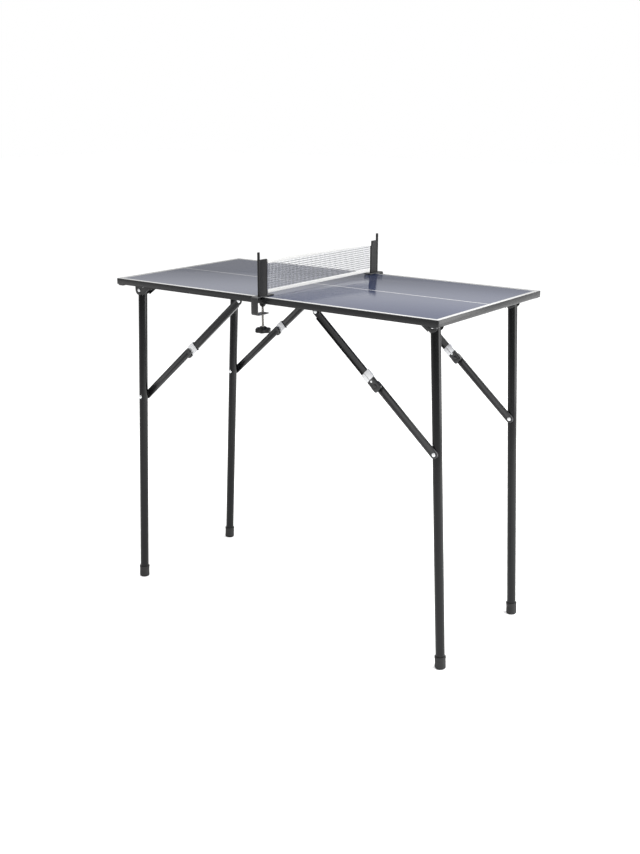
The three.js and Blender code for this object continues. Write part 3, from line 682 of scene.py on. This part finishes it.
def bent_strip(name, path, thickness, width, place):
    """A strip of even thickness that follows a path in the YZ plane, its width along X."""
    bm = bmesh.new()
    line = filleted(path, STRIP_BEND, BEND_STEPS)
    outer, inner = [], []
    for i, point in enumerate(line):
        along = (line[min(i + 1, len(line) - 1)] - line[max(i - 1, 0)]).normalized()
        across = Vector((-along.y, along.x)) * thickness / 2
        outer.append(point + across)
        inner.append(point - across)
    rings = []
    for x in (-width / 2, width / 2):
        rings.append([bm.verts.new(place @ Vector((x, p.x, p.y))) for p in outer + inner[::-1]])
    count = len(rings[0])
    for i in range(count):
        j = (i + 1) % count
        bm.faces.new((rings[0][i], rings[0][j], rings[1][j], rings[1][i]))
    for ring in rings:
        for i in range(len(line) - 1):
            j = count - 1 - i
            bm.faces.new((ring[i], ring[i + 1], ring[j - 1], ring[j]))
    bmesh.ops.recalc_face_normals(bm, faces=bm.faces)
    rounded_edges(bm, SHEET_EDGE_ROUND, 2, math.radians(40))
    return mesh_object(name, bm, math.radians(40))


clamp_low, clamp_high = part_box("net_clamp_front")
post_low, post_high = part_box("net_post_front")
pad_low, pad_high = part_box("clamp_pad_front")
screw_y = (pad_low.y + pad_high.y) / 2
CLAMP_STRIP = 0.003
JAW_PAST_SCREW = 0.17
jaw_inner_y = screw_y + (clamp_high.y - clamp_low.y) * JAW_PAST_SCREW
clamp_path = [
    Vector((clamp_high.y, clamp_high.z - CLAMP_STRIP / 2)),
    Vector((clamp_low.y + CLAMP_STRIP / 2, clamp_high.z - CLAMP_STRIP / 2)),
    Vector((clamp_low.y + CLAMP_STRIP / 2, clamp_low.z + CLAMP_STRIP / 2)),
    Vector((jaw_inner_y, clamp_low.z + CLAMP_STRIP / 2)),
]
for side in ("front", "back"):
    width = clamp_high.x - clamp_low.x
    clamp = bent_strip(f"clamp_{side}", clamp_path, CLAMP_STRIP, width, FACING_SIDE[side])
    fit_out(clamp, "table", "frame_paint", clamp_black, f"net_clamp_{side}")


# ---------------------------------------------------------------- the net posts
# Moulded black plastic: a round peg with a flat flag that the net is drawn against.
# The flag's edges are thickened, and the back one is notched at the top, where the tape runs in.
POST_PEG_ROUND = 0.0012
FLAG_EDGE_ROUND = 0.0007
NOTCH_WIDTH = 0.0038
NOTCH_HEIGHT = 0.012
PEG_RADIUS = 0.003
FLAG_THICKNESS = 0.004
FLAG_PANEL_STEP = 0.0006
FLAG_FRAME = 0.0035
FLAG_WIDTH = 0.030

plastic_black = coated("moulded_black", (0.006, 0.006, 0.0063), 0.45, 0.0007, 0.00008, specular=0.2)
flag_outer_y = post_low.y
flag_inner_y = flag_outer_y + FLAG_WIDTH
flag_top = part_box("net")[1].z + 0.0016


def post(name, place, notch):
    bm = bmesh.new()
    outline = [
        (flag_outer_y + PEG_RADIUS, post_low.z), (flag_inner_y, post_low.z), (flag_inner_y, flag_top),
        (flag_outer_y + PEG_RADIUS, flag_top),
    ]
    if notch:
        notch_y = flag_inner_y - NOTCH_WIDTH
        notch_z = flag_top - NOTCH_HEIGHT
        outline[2:3] = [(flag_inner_y, notch_z), (notch_y, notch_z), (notch_y, flag_top)]
    sides = [[bm.verts.new((x, y, z)) for y, z in outline] for x in (-FLAG_THICKNESS / 2, FLAG_THICKNESS / 2)]
    bm.faces.new(sides[0])
    bm.faces.new(sides[1][::-1])
    for i in range(len(outline)):
        j = (i + 1) % len(outline)
        bm.faces.new((sides[0][i], sides[1][i], sides[1][j], sides[0][j]))
    bmesh.ops.recalc_face_normals(bm, faces=bm.faces)
    broad = [f for f in bm.faces if abs(f.normal.x) > 0.9]
    bmesh.ops.inset_individual(bm, faces=broad, thickness=FLAG_FRAME, depth=0)
    broad = [f for f in broad if f.is_valid]
    bmesh.ops.inset_individual(bm, faces=broad, thickness=FLAG_PANEL_STEP, depth=-FLAG_PANEL_STEP)
    rounded_edges(bm, FLAG_EDGE_ROUND * 0.5, 2, math.radians(40))
    peg_y = flag_outer_y + PEG_RADIUS
    peg = Matrix.Translation((0, peg_y, 0))
    profile = [(0.0, post_low.z), (PEG_RADIUS, post_low.z), (PEG_RADIUS, post_high.z - POST_PEG_ROUND * 2)]
    profile += [
        (PEG_RADIUS - POST_PEG_ROUND * (1 - math.cos(math.pi / 2 * i / 4)),
         post_high.z - POST_PEG_ROUND * (1 - math.sin(math.pi / 2 * i / 4)))
        for i in range(5)
    ] + [(0.0, post_high.z)]
    revolved(bm, profile, 32, peg)
    bmesh.ops.transform(bm, matrix=place, verts=bm.verts)
    return mesh_object(name, bm)


posts = []
for side in ("front", "back"):
    posts.append(post(f"post_{side}", FACING_SIDE[side], side == "back"))
    fit_out(posts[-1], "table", "black_plastic", plastic_black, f"net_post_{side}")


# ---------------------------------------------------------------- the net
# A woven polyester mesh between two folded white tapes, stretched between the flags.
# The tapes are sewn on with a line of stitches, and the bottom one's tails are tucked beside the flags.
MESH_PITCH = 0.005
CROSS_THREAD = 0.00065
UPRIGHT_THREAD = 0.00055
THREAD_WAVER = 0.0007
TOP_TAPE = 0.0088
BOTTOM_TAPE = 0.0078
TAPE_THICKNESS = 0.0015
STITCH_PITCH = 0.0040
STITCH_LENGTH = 0.0026
STITCH_RADIUS = 0.00022
STITCH_INSET = 0.0016
TAIL_LENGTH = 0.022
TAIL_HEIGHT = 0.0042
TAIL_THICKNESS = 0.0009


def woven_group_with_hollow_shade():
    """Crossed threads as a bump height and a tone, from Object coordinates in the YZ plane; the tone is fibre
    noise darkened where the weave lies low, painted shade in its hollows.
    """
    group = bpy.data.node_groups.new("woven_threads_hollow_shade", "ShaderNodeTree")
    socket = group.interface.new_socket("Thread Pitch", in_out="INPUT", socket_type="NodeSocketFloat")
    socket.default_value = 0.0006
    for name in ("Height", "Tone"):
        group.interface.new_socket(name, in_out="OUTPUT", socket_type="NodeSocketFloat")
    nodes, links = group.nodes, group.links
    given, result = nodes.new("NodeGroupInput"), nodes.new("NodeGroupOutput")
    split = nodes.new("ShaderNodeSeparateXYZ")
    links.new(nodes.new("ShaderNodeTexCoord").outputs["Object"], split.inputs[0])
    turns = value_math(nodes, links, "DIVIDE", 2 * math.pi, given.outputs["Thread Pitch"])
    waves = []
    for axis in (1, 2):
        phase = value_math(nodes, links, "MULTIPLY", split.outputs[axis], turns)
        waves.append(value_math(nodes, links, "SINE", phase))
    product = value_math(nodes, links, "MULTIPLY", waves[0], waves[1])
    half = value_math(nodes, links, "MULTIPLY", product, 0.5)
    height = value_math(nodes, links, "ADD", half, 0.5, clamp=True)
    links.new(height, result.inputs["Height"])
    fibre = nodes.new("ShaderNodeTexNoise")
    fibre.inputs["Scale"].default_value = 900.0
    # Fibre noise times the weave height: the colour is painted darker where the weave lies low, as shade in its
    # hollows.
    links.new(value_math(nodes, links, "MULTIPLY", fibre.outputs["Fac"], height), result.inputs["Tone"])
    return group


WOVEN_THREADS_HOLLOW_SHADE = woven_group_with_hollow_shade()


def cloth(name, dark, light, pitch, bump, roughness=0.85):
    material = bpy.data.materials.new(name)
    nodes, links, shader = node_tree_of(material)
    weave = nodes.new("ShaderNodeGroup")
    weave.node_tree = WOVEN_THREADS_HOLLOW_SHADE
    weave.inputs["Thread Pitch"].default_value = pitch
    mix = nodes.new("ShaderNodeMix")
    mix.data_type = "RGBA"
    mix.inputs["A"].default_value = (*dark, 1)
    mix.inputs["B"].default_value = (*light, 1)
    # The weave's tone mixes towards the dark colour in the weave's hollows: painted shade.
    links.new(weave.outputs["Tone"], mix.inputs["Factor"])
    links.new(mix.outputs["Result"], shader.inputs["Base Color"])
    height = nodes.new("ShaderNodeBump")
    height.inputs["Strength"].default_value = 0.5
    height.inputs["Distance"].default_value = bump
    links.new(weave.outputs["Height"], height.inputs["Height"])
    links.new(height.outputs["Normal"], shader.inputs["Normal"])
    shader.inputs["Roughness"].default_value = roughness
    shader.inputs["Sheen Weight"].default_value = 0.15
    return material


tape_white = cloth("net_tape_white", (0.42, 0.42, 0.41), (0.6, 0.6, 0.59), 0.0007, 0.00012)
cross_thread_finish = cloth("net_cross_thread", (0.05, 0.052, 0.06), (0.12, 0.125, 0.14), 0.0006, 0.0001)
upright_thread_finish = cloth("net_upright_thread", (0.4, 0.41, 0.43), (0.62, 0.63, 0.66), 0.0006, 0.0001)


def strand_row_group():
    """Geometry nodes: a row of round threads, each running from its start along Run, with a slight waver."""
    tree = bpy.data.node_groups.new("strand_row", "GeometryNodeTree")
    for label, kind in (("Count", "NodeSocketInt"), ("Start", "NodeSocketVector"),
                        ("Step", "NodeSocketVector"), ("Run", "NodeSocketVector"),
                        ("Points", "NodeSocketInt"), ("Radius", "NodeSocketFloat"),
                        ("Waver", "NodeSocketFloat"), ("Finish", "NodeSocketMaterial")):
        tree.interface.new_socket(label, in_out="INPUT", socket_type=kind)
    tree.interface.new_socket("Geometry", in_out="OUTPUT", socket_type="NodeSocketGeometry")
    nodes, links = tree.nodes, tree.links
    given, result = nodes.new("NodeGroupInput"), nodes.new("NodeGroupOutput")
    line = nodes.new("GeometryNodeMeshLine")
    links.new(given.outputs["Count"], line.inputs["Count"])
    links.new(given.outputs["Start"], line.inputs["Start Location"])
    links.new(given.outputs["Step"], line.inputs["Offset"])
    run = nodes.new("GeometryNodeCurvePrimitiveLine")
    links.new(given.outputs["Run"], run.inputs["End"])
    resample = nodes.new("GeometryNodeResampleCurve")
    links.new(run.outputs["Curve"], resample.inputs["Curve"])
    links.new(given.outputs["Points"], resample.inputs["Count"])
    copies = nodes.new("GeometryNodeInstanceOnPoints")
    links.new(line.outputs["Mesh"], copies.inputs["Points"])
    links.new(resample.outputs["Curve"], copies.inputs["Instance"])
    real = nodes.new("GeometryNodeRealizeInstances")
    links.new(copies.outputs["Instances"], real.inputs["Geometry"])
    noise = nodes.new("ShaderNodeTexNoise")
    noise.inputs["Scale"].default_value = 45.0
    links.new(nodes.new("GeometryNodeInputPosition").outputs[0], noise.inputs["Vector"])
    centred = value_math(nodes, links, "SUBTRACT", noise.outputs["Fac"], 0.5)
    waver = value_math(nodes, links, "MULTIPLY", centred, given.outputs["Waver"])
    offset = nodes.new("ShaderNodeCombineXYZ")
    links.new(waver, offset.inputs["X"])
    move = nodes.new("GeometryNodeSetPosition")
    links.new(real.outputs["Geometry"], move.inputs["Geometry"])
    links.new(offset.outputs[0], move.inputs["Offset"])
    ring = nodes.new("GeometryNodeCurvePrimitiveCircle")
    ring.inputs["Resolution"].default_value = 6
    links.new(given.outputs["Radius"], ring.inputs["Radius"])
    thread = nodes.new("GeometryNodeCurveToMesh")
    thread.inputs["Fill Caps"].default_value = True
    links.new(move.outputs["Geometry"], thread.inputs["Curve"])
    links.new(ring.outputs["Curve"], thread.inputs["Profile Curve"])
    finish = nodes.new("GeometryNodeSetMaterial")
    solid = nodes.new("GeometryNodeRealizeInstances")
    links.new(thread.outputs["Mesh"], solid.inputs["Geometry"])
    links.new(solid.outputs["Geometry"], finish.inputs["Geometry"])
    links.new(given.outputs["Finish"], finish.inputs["Material"])
    links.new(finish.outputs["Geometry"], result.inputs["Geometry"])
    return tree


def weave_tree(strand_row):
    """Geometry nodes: cross threads and upright threads over a flat oblong in the YZ plane."""
    tree = bpy.data.node_groups.new("net_weave", "GeometryNodeTree")
    tree.interface.new_socket("Geometry", in_out="INPUT", socket_type="NodeSocketGeometry")
    for label, kind in (("Cross Count", "NodeSocketInt"), ("Cross Start", "NodeSocketVector"),
                        ("Cross Step", "NodeSocketVector"), ("Cross Run", "NodeSocketVector"),
                        ("Cross Radius", "NodeSocketFloat"), ("Cross Finish", "NodeSocketMaterial"),
                        ("Upright Count", "NodeSocketInt"), ("Upright Start", "NodeSocketVector"),
                        ("Upright Step", "NodeSocketVector"), ("Upright Run", "NodeSocketVector"),
                        ("Upright Radius", "NodeSocketFloat"), ("Upright Finish", "NodeSocketMaterial"),
                        ("Waver", "NodeSocketFloat")):
        tree.interface.new_socket(label, in_out="INPUT", socket_type=kind)
    tree.interface.new_socket("Geometry", in_out="OUTPUT", socket_type="NodeSocketGeometry")
    nodes, links = tree.nodes, tree.links
    given, result = nodes.new("NodeGroupInput"), nodes.new("NodeGroupOutput")
    joined = nodes.new("GeometryNodeJoinGeometry")
    for way, points in (("Cross", 60), ("Upright", 8)):
        row = nodes.new("GeometryNodeGroup")
        row.node_tree = strand_row
        row.inputs["Points"].default_value = points
        for label in ("Count", "Start", "Step", "Run", "Radius", "Finish"):
            links.new(given.outputs[f"{way} {label}"], row.inputs[label])
        links.new(given.outputs["Waver"], row.inputs["Waver"])
        links.new(row.outputs["Geometry"], joined.inputs["Geometry"])
    links.new(joined.outputs["Geometry"], result.inputs["Geometry"])
    return tree


def tape(name, low_y, high_y, low_z, high_z):
    """A folded tape: a flat band with rounded edges and faintly puckered faces."""
    bm = bmesh.new()
    block(bm, (-TAPE_THICKNESS / 2, low_y, low_z), (TAPE_THICKNESS / 2, high_y, high_z))
    cuts = [e for e in bm.edges if abs(e.verts[0].co.y - e.verts[1].co.y) > 1e-4]
    bmesh.ops.subdivide_edges(bm, edges=cuts, cuts=int((high_y - low_y) / STITCH_PITCH), use_grid_fill=True)
    rounded_edges(bm, TAPE_THICKNESS * 0.45, 3)
    for vertex in bm.verts:
        vertex.co.x *= 1 + 0.06 * math.sin(vertex.co.y / STITCH_PITCH * 2 * math.pi)
    return mesh_object(name, bm)


net_low, net_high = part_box("net")
top_tape = tape("net_tape_top", net_low.y, net_high.y + NOTCH_WIDTH, net_high.z - TOP_TAPE, net_high.z)
bottom_tape = tape("net_tape_bottom", net_low.y, net_high.y, net_low.z, net_low.z + BOTTOM_TAPE)
for band in (top_tape, bottom_tape):
    fit_out(band, "table", "net_fabric", tape_white)

bm = bmesh.new()
stitch_sections = [
    (0.0, -STITCH_LENGTH / 2), (STITCH_RADIUS, -STITCH_LENGTH * 0.3),
    (STITCH_RADIUS, STITCH_LENGTH * 0.3), (0.0, STITCH_LENGTH / 2),
]
revolved(bm, stitch_sections, 6, Matrix.Rotation(math.pi / 2, 4, "X"))
stitch = mesh_object("stitch_pattern", bm)
scene.collection.objects.unlink(stitch)
stitch_count = int((net_high.y - net_low.y) / STITCH_PITCH) - 1
STITCH_LEVELS = {
    "top": net_high.z - TOP_TAPE + STITCH_INSET,
    "bottom": net_low.z + BOTTOM_TAPE - STITCH_INSET,
}
for label, z in STITCH_LEVELS.items():
    for face, x in (("right", TAPE_THICKNESS / 2), ("left", -TAPE_THICKNESS / 2)):
        row = grown(ROW_TREE, f"stitches_{label}_{face}", count=stitch_count,
                    start=(x, net_low.y + STITCH_PITCH, z), step=(0, STITCH_PITCH, 0), piece=stitch,
                    finish=tape_white)
        fit_out(row, "table", "net_fabric", tape_white)

for side, place in FACING_SIDE.items():
    bm = bmesh.new()
    towards_eye = 1 if side == "front" else -1
    x = towards_eye * (FLAG_THICKNESS / 2 + TAIL_THICKNESS * 0.6)
    block(bm, (x - TAIL_THICKNESS / 2, flag_inner_y - TAIL_LENGTH, post_low.z),
          (x + TAIL_THICKNESS / 2, flag_inner_y, post_low.z + TAIL_HEIGHT))
    rounded_edges(bm, TAIL_THICKNESS * 0.4, 2)
    bmesh.ops.transform(bm, matrix=place, verts=bm.verts)
    fit_out(mesh_object(f"net_tape_tail_{side}", bm), "table", "net_fabric", tape_white)

mesh_low_z = net_low.z + BOTTOM_TAPE
mesh_high_z = net_high.z - TOP_TAPE
mesh_length = net_high.y - net_low.y
mesh_height = mesh_high_z - mesh_low_z
cross_count = int(mesh_height / MESH_PITCH)
upright_count = int(mesh_length / MESH_PITCH)
cross_margin = (mesh_height - (cross_count - 1) * MESH_PITCH) / 2
upright_margin = (mesh_length - (upright_count - 1) * MESH_PITCH) / 2
net = grown(
    weave_tree(strand_row_group()), "net_weave", cross_count=cross_count, upright_count=upright_count,
    cross_start=(0, net_low.y, mesh_low_z + cross_margin), cross_step=(0, 0, MESH_PITCH),
    cross_run=(0, mesh_length, 0), cross_radius=CROSS_THREAD, cross_finish=cross_thread_finish,
    upright_start=(0, net_low.y + upright_margin, mesh_low_z), upright_step=(0, MESH_PITCH, 0),
    upright_run=(0, 0, mesh_height), upright_radius=UPRIGHT_THREAD, upright_finish=upright_thread_finish,
    waver=THREAD_WAVER)
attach(net, "table")
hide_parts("net")


# ---------------------------------------------------------------- the clamp screws
# Plated steel rods with a rolled thread, one to a clamp.
# They turn in the jaw and press a pad up under the rail.
THREAD_PITCH = 0.0012
THREAD_DEPTH = 0.0005
THREAD_STEPS_PER_TURN = 5

screw_steel = coated("screw_steel", (0.36, 0.35, 0.33), 0.34, 0.001, 0.00002, tone=0.15, metallic=1.0)


def thread_tree():
    """Geometry nodes: a rod whose skin rises and falls along a helix."""
    tree = bpy.data.node_groups.new("screw_thread", "GeometryNodeTree")
    tree.interface.new_socket("Geometry", in_out="INPUT", socket_type="NodeSocketGeometry")
    for label, kind in (("Radius", "NodeSocketFloat"), ("Length", "NodeSocketFloat"),
                        ("Segments", "NodeSocketInt"), ("Pitch", "NodeSocketFloat"),
                        ("Depth", "NodeSocketFloat"), ("Foot", "NodeSocketVector"),
                        ("Finish", "NodeSocketMaterial")):
        tree.interface.new_socket(label, in_out="INPUT", socket_type=kind)
    tree.interface.new_socket("Geometry", in_out="OUTPUT", socket_type="NodeSocketGeometry")
    nodes, links = tree.nodes, tree.links
    given, result = nodes.new("NodeGroupInput"), nodes.new("NodeGroupOutput")
    rod = nodes.new("GeometryNodeMeshCylinder")
    rod.inputs["Vertices"].default_value = 24
    links.new(given.outputs["Segments"], rod.inputs["Side Segments"])
    links.new(given.outputs["Radius"], rod.inputs["Radius"])
    links.new(given.outputs["Length"], rod.inputs["Depth"])
    split = nodes.new("ShaderNodeSeparateXYZ")
    links.new(nodes.new("GeometryNodeInputPosition").outputs[0], split.inputs[0])
    angle = value_math(nodes, links, "ARCTAN2", split.outputs["Y"], split.outputs["X"])
    turn = value_math(nodes, links, "DIVIDE", angle, 2 * math.pi)
    rise = value_math(nodes, links, "DIVIDE", split.outputs["Z"], given.outputs["Pitch"])
    phase = value_math(nodes, links, "ADD", rise, turn)
    groove = value_math(nodes, links, "PINGPONG", phase, 0.5)
    share = value_math(nodes, links, "DIVIDE", given.outputs["Depth"], given.outputs["Radius"])
    sunk = value_math(nodes, links, "MULTIPLY", groove, share)
    doubled = value_math(nodes, links, "MULTIPLY", sunk, 2.0)
    kept = value_math(nodes, links, "SUBTRACT", 1.0, doubled)
    skin = nodes.new("ShaderNodeCombineXYZ")
    links.new(value_math(nodes, links, "MULTIPLY", split.outputs["X"], kept), skin.inputs["X"])
    links.new(value_math(nodes, links, "MULTIPLY", split.outputs["Y"], kept), skin.inputs["Y"])
    links.new(split.outputs["Z"], skin.inputs["Z"])
    move = nodes.new("GeometryNodeSetPosition")
    links.new(rod.outputs["Mesh"], move.inputs["Geometry"])
    links.new(skin.outputs[0], move.inputs["Position"])
    links.new(given.outputs["Foot"], move.inputs["Offset"])
    real = nodes.new("GeometryNodeRealizeInstances")
    links.new(move.outputs["Geometry"], real.inputs["Geometry"])
    finish = nodes.new("GeometryNodeSetMaterial")
    links.new(real.outputs["Geometry"], finish.inputs["Geometry"])
    links.new(given.outputs["Finish"], finish.inputs["Material"])
    links.new(finish.outputs["Geometry"], result.inputs["Geometry"])
    return tree


THREAD_TREE = thread_tree()
for side in ("front", "back"):
    low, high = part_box(f"clamp_screw_{side}")
    length = high.z - low.z
    segments = int(length / THREAD_PITCH * THREAD_STEPS_PER_TURN)
    screw = grown(THREAD_TREE, f"screw_{side}", radius=(high.x - low.x) / 2, length=length, segments=segments,
                  pitch=THREAD_PITCH, depth=THREAD_DEPTH, foot=tuple((low + high) / 2), finish=screw_steel)
    fit_out(screw, f"screw_{side}", "bright_steel", screw_steel, f"clamp_screw_{side}")


# ---------------------------------------------------------------- the clamp pads and knobs
# Black moulded plastic: cones that grip the rail from below, and six-lobed hand knobs.
# The pads swivel on the tops of the screws, and the knobs are pressed on their lower ends.
KNOB_STEPS = 120
KNOB_LOBES = 6
KNOB_LOBE_DEPTH = 0.003
KNOB_HUB = 0.0085
KNOB_HUB_HEIGHT = 0.0035
KNOB_EDGE = 0.0022

for side in ("front", "back"):
    low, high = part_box(f"clamp_pad_{side}")
    middle = (low + high) / 2
    radius = (high.x - low.x) / 2
    height = high.z - low.z
    bm = bmesh.new()
    pad_sections = [
        (0.0, 0.0), (radius * 0.62, 0.0), (radius * 0.74, height * 0.08), (radius * 0.8, height * 0.25),
        (radius * 0.94, height * 0.5), (radius, height * 0.6), (radius, height * 0.9),
        (radius * 0.95, height), (0.0, height),
    ]
    revolved(bm, pad_sections, 40, Matrix.Translation((middle.x, middle.y, low.z)))
    pad = mesh_object(f"pad_{side}", bm)
    fit_out(pad, f"pad_{side}", "black_plastic", plastic_black, f"clamp_pad_{side}")

    low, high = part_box(f"clamp_knob_{side}")
    middle = (low + high) / 2
    radius = (high.x - low.x) / 2
    lobe_top = high.z - KNOB_HUB_HEIGHT
    rows = [(0.0, low.z + 0.0012, 0.0), (KNOB_HUB, low.z + 0.0012, 0.0), (KNOB_HUB + 0.0012, low.z, 0.0)]
    for z, sign in ((low.z + KNOB_EDGE, -1), (lobe_top - KNOB_EDGE, 1)):
        turns = [math.pi / 2 * i / 4 for i in range(5)]
        arc = [
            (radius - KNOB_EDGE * (1 - math.cos(turn)), z + sign * KNOB_EDGE * math.sin(turn), 1.0)
            for turn in turns
        ]
        rows += arc[::-1] if sign < 0 else arc
    rows += [(KNOB_HUB + 0.003, lobe_top + 0.0003, 0.35), (KNOB_HUB + 0.0008, lobe_top + 0.0012, 0.0),
             (KNOB_HUB - 0.0006, high.z - 0.0008, 0.0), (KNOB_HUB - 0.0016, high.z, 0.0), (0.0, high.z, 0.0)]
    bm = bmesh.new()
    rings = revolved(bm, [(r, z) for r, z, lobed in rows], KNOB_STEPS)
    for ring, (r, z, lobed) in zip(rings, rows):
        for vertex in ring:
            if r > 0 and lobed > 0:
                turn = math.atan2(vertex.co.y, vertex.co.x)
                hollow = lobed * KNOB_LOBE_DEPTH * (0.5 - 0.5 * math.cos(KNOB_LOBES * turn))
                vertex.co.x *= 1 - hollow / r
                vertex.co.y *= 1 - hollow / r
    bmesh.ops.translate(bm, verts=bm.verts, vec=(middle.x, middle.y, 0))
    knob = mesh_object(f"knob_{side}", bm)
    fit_out(knob, f"screw_{side}", "black_plastic", plastic_black, f"clamp_knob_{side}")


# ---------------------------------------------------------------- floor and light
# A white studio floor under a white sky. One soft box stands off the table's right end, a second
# hangs over the floor beside it, and a third hangs over the board.
FLOOR_SIZE = 40.0

bm = bmesh.new()
bmesh.ops.create_grid(bm, x_segments=1, y_segments=1, size=FLOOR_SIZE / 2)
floor = mesh_object("floor", bm)
floor_paint = bpy.data.materials.new("floor_white")
nodes, links, shader = node_tree_of(floor_paint)
shader.inputs["Base Color"].default_value = (0.95, 0.95, 0.95, 1)
shader.inputs["Roughness"].default_value = 0.95
floor.data.materials.append(floor_paint)

# The sky is plain white to the eye and dims towards the horizon for everything it lights.
HORIZON_END = 0.08
SKY_START = 0.30
HORIZON_LIGHT = 0.40
SKY_LIGHT = 1.12
world = bpy.data.worlds.new("studio")
world.use_nodes = True
nodes, links = world.node_tree.nodes, world.node_tree.links
split = nodes.new("ShaderNodeSeparateXYZ")
links.new(nodes.new("ShaderNodeTexCoord").outputs["Generated"], split.inputs[0])
rise = nodes.new("ShaderNodeMapRange")
rise.inputs["From Min"].default_value = HORIZON_END
rise.inputs["From Max"].default_value = SKY_START
rise.inputs["To Min"].default_value = HORIZON_LIGHT
rise.inputs["To Max"].default_value = SKY_LIGHT
links.new(split.outputs["Z"], rise.inputs["Value"])
seen = nodes.new("ShaderNodeLightPath").outputs["Is Camera Ray"]
links.new(value_math(nodes, links, "MAXIMUM", rise.outputs[0], seen), nodes["Background"].inputs["Strength"])
nodes["Background"].inputs["Color"].default_value = (1, 1, 1, 1)
scene.world = world


def soft_light(name, place, aim, width, height, power):
    data = bpy.data.lights.new(name, "AREA")
    data.shape = "RECTANGLE"
    data.size = width
    data.size_y = height
    data.energy = power
    lamp = bpy.data.objects.new(name, data)
    scene.collection.objects.link(lamp)
    lamp.location = place
    lamp.rotation_euler = (Vector(aim) - Vector(place)).to_track_quat("-Z", "Y").to_euler()
    return lamp


soft_light("side_softbox", (2.4, 0.9, 0.95), (0.0, 0.1, 0.6), 2.0, 1.4, 50)
soft_light("right_softbox", (1.9, 0.9, 2.2), (1.9, 0.9, 0.0), 2.2, 3.2, 110)
soft_light("top_softbox", (-0.3, -0.5, 2.9), (0.0, 0.0, 0.7), 2.4, 2.4, 45)
